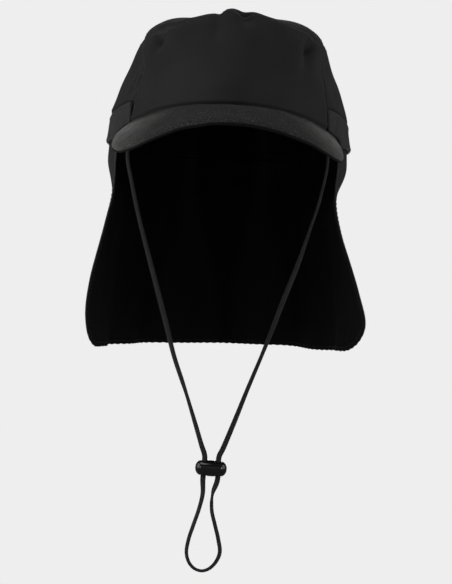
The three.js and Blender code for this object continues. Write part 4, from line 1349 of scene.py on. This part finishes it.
def make_flap():
    t = crowded(FLAP_COLUMNS, FLAP_COLUMNS_CROWDING)[None, :]
    azimuth = FLAP_FRONT_AZIMUTH + (360 - 2 * FLAP_FRONT_AZIMUTH) * t
    corner = np.where(azimuth < 180, FLAP_CORNER_LEFT, FLAP_CORNER_RIGHT)
    from_edge = np.radians(from_front(azimuth) - FLAP_FRONT_AZIMUTH) * (CROWN_HALF_WIDTH + corner / 2)
    in_corner = np.clip(corner - from_edge, 0, corner)
    corner_rise = corner - (corner**CORNER_POWER - in_corner**CORNER_POWER) ** (1 / CORNER_POWER)
    hem = hem_height(azimuth)
    hem_rows = np.linspace(0, HEM_SHARE, HEM_ROWS + 1)
    rows = np.linspace(HEM_SHARE, 1, FLAP_ROWS + 1)
    share = np.concatenate([hem_rows, rows[1:]])[:, None]
    bottom = hem + corner_rise
    run = np.concatenate([[0], np.cumsum(np.abs(np.diff(from_edge[0])) + np.abs(np.diff(bottom[0])))])
    scallop = SCALLOP_DEPTH * np.abs(np.sin(np.pi * run / SCALLOP_PITCH))[None, :]
    z = bottom + (CROWN_EDGE_HEIGHT - SEAM_GAP - bottom) * share
    above = z - hem
    from_corner = np.abs(corner - from_edge) ** CORNER_POWER + np.abs(corner - above) ** CORNER_POWER
    corner_distance = corner - from_corner ** (1 / CORNER_POWER)
    in_corner_box = (from_edge < corner) & (above < corner)
    to_edge = np.where(in_corner_box, corner_distance, np.minimum(from_edge, above))
    z = z - scallop * bell(share, SCALLOP_REACH)
    middle, normal = flap_middle(azimuth, z)
    hemmed = 1 + HEM_EXTRA_CLOTH * (1 - smoothstep(to_edge, HEM_WIDTH, HEM_WIDTH + HEM_STEP))
    hemmed -= HEM_CREASE * bell(to_edge - HEM_WIDTH, HEM_STEP)
    thick = FLAP_CLOTH * FLAP_BODY * hemmed * np.maximum(rounded(to_edge, HEM_ROUND), FLAP_EDGE_LEAST)
    outer = middle + normal * (thick / 2)[..., None]
    inner = middle - normal * (thick / 2)[..., None]
    paleness = bell(to_edge, HEM_WEAR_WIDTH)
    # Its inner face takes the darker copy of the nylon, which is painted shade.
    flap = add_cloth("flap_cloth", outer, inner, paleness, NYLON, inside=NYLON_PAINTED_SHADE)
    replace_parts(flap, "neck_flap")
    steps_up, steps_across = np.diff(outer, axis=0), np.diff(outer, axis=1)
    area = float(np.linalg.norm(np.cross(steps_up[:, 1:], steps_across[1:]), axis=2).sum())
    above_corners = share[:, 0] * FLAP_DROP > FLAP_CORNER_LEFT
    width = float(np.linalg.norm(steps_across[above_corners], axis=2).sum(1).max())
    height = float(np.linalg.norm(steps_up, axis=2).sum(0).max())
    area = min(area, width * height)


make_flap()

# Two small tabs of doubled nylon, sewn inside the crown's edge, hold the cord's ends.
for name in ("cord_tab_left", "cord_tab_right"):
    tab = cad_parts[name]
    tab.data.materials.clear()
    tab.data.materials.append(NYLON)

# The seams are topstitched with black thread: a row on each side of every crown seam, one
# along each edge of the band, and one inside the flap's hem.
STITCH_PITCH = 0.0030
STITCH_LENGTH = 0.0023
STITCH_FROM_SEAM = 0.0022
STITCH_RINGS = 7
STITCH_SIDES = 6
THREAD_WIDTH = 0.00042
# A stitch gets thinner towards its ends, and dips into the cloth there.
THREAD_TAPER = 0.7
STITCH_RISE = 0.25
STITCH_DIP = 1.1
CROWN_ROW_STEPS = 500
CROWN_ROW_SHARE = 0.8
# How far the rows stay from the panels' edges: swings in radians, and shares of the way across.
ROW_START_SWING = 0.12
ROW_END_SWING = 0.2
RIDGE_ROW_REACH = 0.97
RIDGE_ROW_SWINGS = (0.4, 1.7)
BAND_ROW_STEPS = 900
BAND_ROW_CLEAR = 3
HEM_ROW_STEPS = 400
HEM_TURN_STEPS = 40
EDGE_ROW_STEPS = 120
EDGE_ROW_CLEAR = 0.004
HEM_ROW_CLEAR = 0.001
# Distance of the hem's stitches from the middle of the cloth, as a share of its thickness.
HEM_ROW_LIFT = 0.56


def thread_finish():
    """Black sewing thread with a slight sheen."""
    material, tree, shader = new_finish("sewing_thread", Sheen_Weight=0.2)
    grain = add_effect(tree, GRAIN, Fine=6000, Coarse=500)
    colour = blend_colours(tree, grain.outputs["Coarse"], (0.008, 0.008, 0.009), (0.018, 0.018, 0.019))
    rough = uneven(tree, grain.outputs["Fine"], 0.4, 0.6)
    lay_finish(tree, shader, colour, rough, bump(tree, grain.outputs["Fine"], 0.00005, 0.6))
    return material


def stitch_row(line, normals):
    """Vertices and quads of a row of short stitches, whose ends go down into the cloth."""
    run = np.concatenate([[0], np.cumsum(np.linalg.norm(np.diff(line, axis=0), axis=1))])
    count = int(run[-1] / STITCH_PITCH)
    along = np.linspace(-0.5, 0.5, STITCH_RINGS)
    places = (np.arange(count)[:, None] + 0.5) * run[-1] / count + along * STITCH_LENGTH
    centre = np.stack([np.interp(places, run, line[:, k]) for k in range(3)], -1)
    normal = np.stack([np.interp(places, run, normals[:, k]) for k in range(3)], -1)
    tangent = np.gradient(centre, axis=1)
    tangent /= np.linalg.norm(tangent, axis=-1, keepdims=True)
    normal -= (normal * tangent).sum(-1, keepdims=True) * tangent
    normal /= np.linalg.norm(normal, axis=-1, keepdims=True)
    sideways = np.cross(tangent, normal)
    radius = THREAD_WIDTH / 2 * (1 - (2 * np.abs(along)) ** 4 * THREAD_TAPER)
    height = THREAD_WIDTH * (STITCH_RISE - STITCH_DIP * (2 * np.abs(along)) ** 3)
    ring = np.linspace(0, 2 * np.pi, STITCH_SIDES, endpoint=False)
    centre = centre + normal * height[None, :, None]
    points = (
        centre[:, :, None]
        + normal[:, :, None] * (np.cos(ring) * radius[:, None])[..., None]
        + sideways[:, :, None] * (np.sin(ring) * radius[:, None])[..., None]
    )
    first = np.array([[0, 3, 2, 1], [0, 5, 4, 3]])
    last = np.array([[0, 1, 2, 3], [0, 3, 4, 5]]) + (STITCH_RINGS - 1) * STITCH_SIDES
    one = np.vstack([tube_quads(STITCH_RINGS, STITCH_SIDES), first, last])[:, ::-1]
    starts = np.arange(count) * STITCH_RINGS * STITCH_SIDES
    return points.reshape(-1, 3), (one + starts[:, None, None]).reshape(-1, 4)


def add_stitching(name, rows):
    """One piece of all the stitches of several rows."""
    vertices, faces, start = [], [], 0
    for line, normals in rows:
        points, quads = stitch_row(line, normals)
        vertices.append(points)
        faces.append(quads + start)
        start += len(points)
    add_piece(name, np.vstack(vertices), np.vstack(faces), THREAD, "cord")


THREAD = thread_finish()


def crown_line(azimuth, level):
    points, normals, _ = crown_cloth(azimuth, level)
    return points, normals


def crown_stitch_rows():
    """Rows beside the side seams, and beside the ridge seam."""
    rows = []
    offset = CROWN_ROW_SHARE * STITCH_FROM_SEAM
    steps = np.linspace(0, 1, CROWN_ROW_STEPS)
    for side in (-1, 1):
        for beside in (-1, 1):
            across = np.full(CROWN_ROW_STEPS, side * (1 - beside * offset / side_seam_x(0)))
            low = front_edge_swing(across[:1]) + ROW_START_SWING
            high = back_edge_swing(across[:1]) - ROW_END_SWING
            rows.append(crown_line(*crown_on_ray(across, low + (high - low) * steps)))
    for beside in (-1, 1):
        across = np.linspace(-RIDGE_ROW_REACH, RIDGE_ROW_REACH, CROWN_ROW_STEPS)
        behind = beside * offset
        swing = swing_at(
            across, *RIDGE_ROW_SWINGS, lambda azimuth, points: behind_seam(points) > behind
        )
        rows.append(crown_line(*crown_on_ray(across, swing)))
    return rows


def band_stitch_rows():
    """Rows along the band's lower and upper edge."""
    rows = []
    start = BAND_START + BAND_ROW_CLEAR
    azimuth = np.linspace(start, 360 - start, BAND_ROW_STEPS)
    bottom, top = band_edges(azimuth)
    inset = STITCH_FROM_SEAM / (top - bottom)
    for share in (inset, 1 - inset):
        rows.append(band_points(azimuth, share, np.full_like(azimuth, SEAM_GAP + BAND_CLOTH)))
    return rows


def hem_stitch_rows():
    """Rows on both faces of the flap: down each free edge, round its corner and along the hem."""
    rows = []
    inset = HEM_WIDTH - HEM_STEP
    turn = np.linspace(0, np.pi / 2, HEM_TURN_STEPS)
    for side, corner in ((1, FLAP_CORNER_LEFT), (-1, FLAP_CORNER_RIGHT)):
        span = CROWN_HALF_WIDTH + corner / 2
        to_middle = np.radians(180 - FLAP_FRONT_AZIMUTH) * span
        hem_run = np.linspace(corner, to_middle - HEM_ROW_CLEAR, HEM_ROW_STEPS)[1:]
        drop = np.linspace(FLAP_DROP - EDGE_ROW_CLEAR, corner, EDGE_ROW_STEPS)[:-1]
        curve = (corner - inset) * np.stack([np.cos(turn), np.sin(turn)]) ** (2 / CORNER_POWER)
        from_edge = np.concatenate([np.full_like(drop, inset), corner - curve[0], hem_run])
        above = np.concatenate([drop, corner - curve[1], np.full_like(hem_run, inset)])
        azimuth = (side * (FLAP_FRONT_AZIMUTH + np.degrees(from_edge / span))) % 360
        middle, normal = flap_middle(azimuth, hem_height(azimuth) + above)
        for face in (1, -1):
            rows.append((middle + face * HEM_ROW_LIFT * FLAP_CLOTH * normal, face * normal))
    return rows


add_stitching("crown_stitching", crown_stitch_rows())
add_stitching("band_stitching", band_stitch_rows())
add_stitching("hem_stitching", hem_stitch_rows())

# Plain pale studio: an even floor and backdrop, soft boxes at both sides, above and behind,
# two narrow strips that light the peak's ends and the stopper, and a weak fill in front.
FLOOR_HEIGHT = -0.3
FLOOR_HALF_WIDTH = 30
PALE = (0.855, 0.855, 0.855, 1)
# The floor throws little light back on to the cap.
FLOOR_GREY = (0.3, 0.3, 0.3, 1)
ROOM_LIGHT = 0.075


def lay_backdrop(owner, output, seen, lit):
    """Gives a floor or a room one even shader for the camera, and another for all other rays."""
    owner.use_nodes = True
    tree = owner.node_tree
    tree.nodes.clear()
    seen, lit = (add_node(tree, kind, inputs).outputs[0] for kind, inputs in (seen, lit))
    ray = add_node(tree, "ShaderNodeLightPath").outputs["Is Camera Ray"]
    mix = add_node(tree, "ShaderNodeMixShader", {0: ray, 1: lit, 2: seen})
    tree.links.new(mix.outputs[0], tree.nodes.new(output).inputs["Surface"])


floor_paint = bpy.data.materials.new("pale_floor")
lay_backdrop(
    floor_paint, "ShaderNodeOutputMaterial",
    seen=("ShaderNodeEmission", {"Color": PALE, "Strength": 1.0}),
    lit=("ShaderNodeBsdfDiffuse", {"Color": FLOOR_GREY}),
)
sides = ((-1, -1), (1, -1), (1, 1), (-1, 1))
corners = [(x * FLOOR_HALF_WIDTH, y * FLOOR_HALF_WIDTH, FLOOR_HEIGHT) for x, y in sides]
floor_mesh = bpy.data.meshes.new("floor")
floor_mesh.from_pydata(corners, [], [(0, 1, 2, 3)])
floor_mesh.materials.append(floor_paint)
floor = bpy.data.objects.new("floor", floor_mesh)
bpy.context.scene.collection.objects.link(floor)

room = bpy.data.worlds.new("pale_room")
lay_backdrop(
    room, "ShaderNodeOutputWorld",
    seen=("ShaderNodeBackground", {"Color": PALE, "Strength": 1.0}),
    lit=("ShaderNodeBackground", {"Color": PALE, "Strength": ROOM_LIGHT}),
)
bpy.context.scene.world = room

# Each light's place, the point that it faces, its width and height, and its power in watts.
LIGHTS = [
    dict(name="right_softbox", place=(-1.15, -0.45, 0.1), aim=(0, 0, -0.03), size=(0.9, 1.4), power=7.0),
    dict(name="left_softbox", place=(1.15, -0.45, 0.1), aim=(0, 0, -0.03), size=(0.9, 1.4), power=5.3),
    dict(name="right_strip", place=(-0.8, -1.1, -0.14), aim=(0, 0, -0.2), size=(0.06, 0.25), power=0.9),
    dict(name="left_strip", place=(0.8, -1.1, -0.14), aim=(0, 0, -0.2), size=(0.06, 0.25), power=0.9),
    dict(name="front_fill", place=(0.0, -1.7, -0.05), aim=(0, 0, 0), size=(1.5, 0.35), power=0.4),
    dict(name="top_softbox", place=(-0.5, -0.8, 1.2), aim=(0, 0, 0.05), size=(1.0, 0.8), power=5.0),
    dict(name="right_back_softbox", place=(-1.2, 0.8, 0.0), aim=(0, 0, -0.05), size=(0.8, 1.2), power=0.4),
    dict(name="left_back_softbox", place=(1.2, 0.8, 0.0), aim=(0, 0, -0.05), size=(0.8, 1.2), power=0.4),
    dict(name="back_softbox", place=(0.0, 1.6, 0.1), aim=(0, 0, -0.05), size=(0.6, 1.0), power=4.5),
]
for light in LIGHTS:
    data = bpy.data.lights.new(light["name"], "AREA")
    data.shape = "RECTANGLE"
    data.size, data.size_y = light["size"]
    data.energy = light["power"]
    lamp = bpy.data.objects.new(light["name"], data)
    towards = np.subtract(light["aim"], light["place"])
    turn = Vector(towards).to_track_quat("-Z", "Y").to_matrix().to_4x4()
    lamp.matrix_world = Matrix.Translation(light["place"]) @ turn
    bpy.context.scene.collection.objects.link(lamp)

bpy.context.scene.view_settings.view_transform = "Standard"
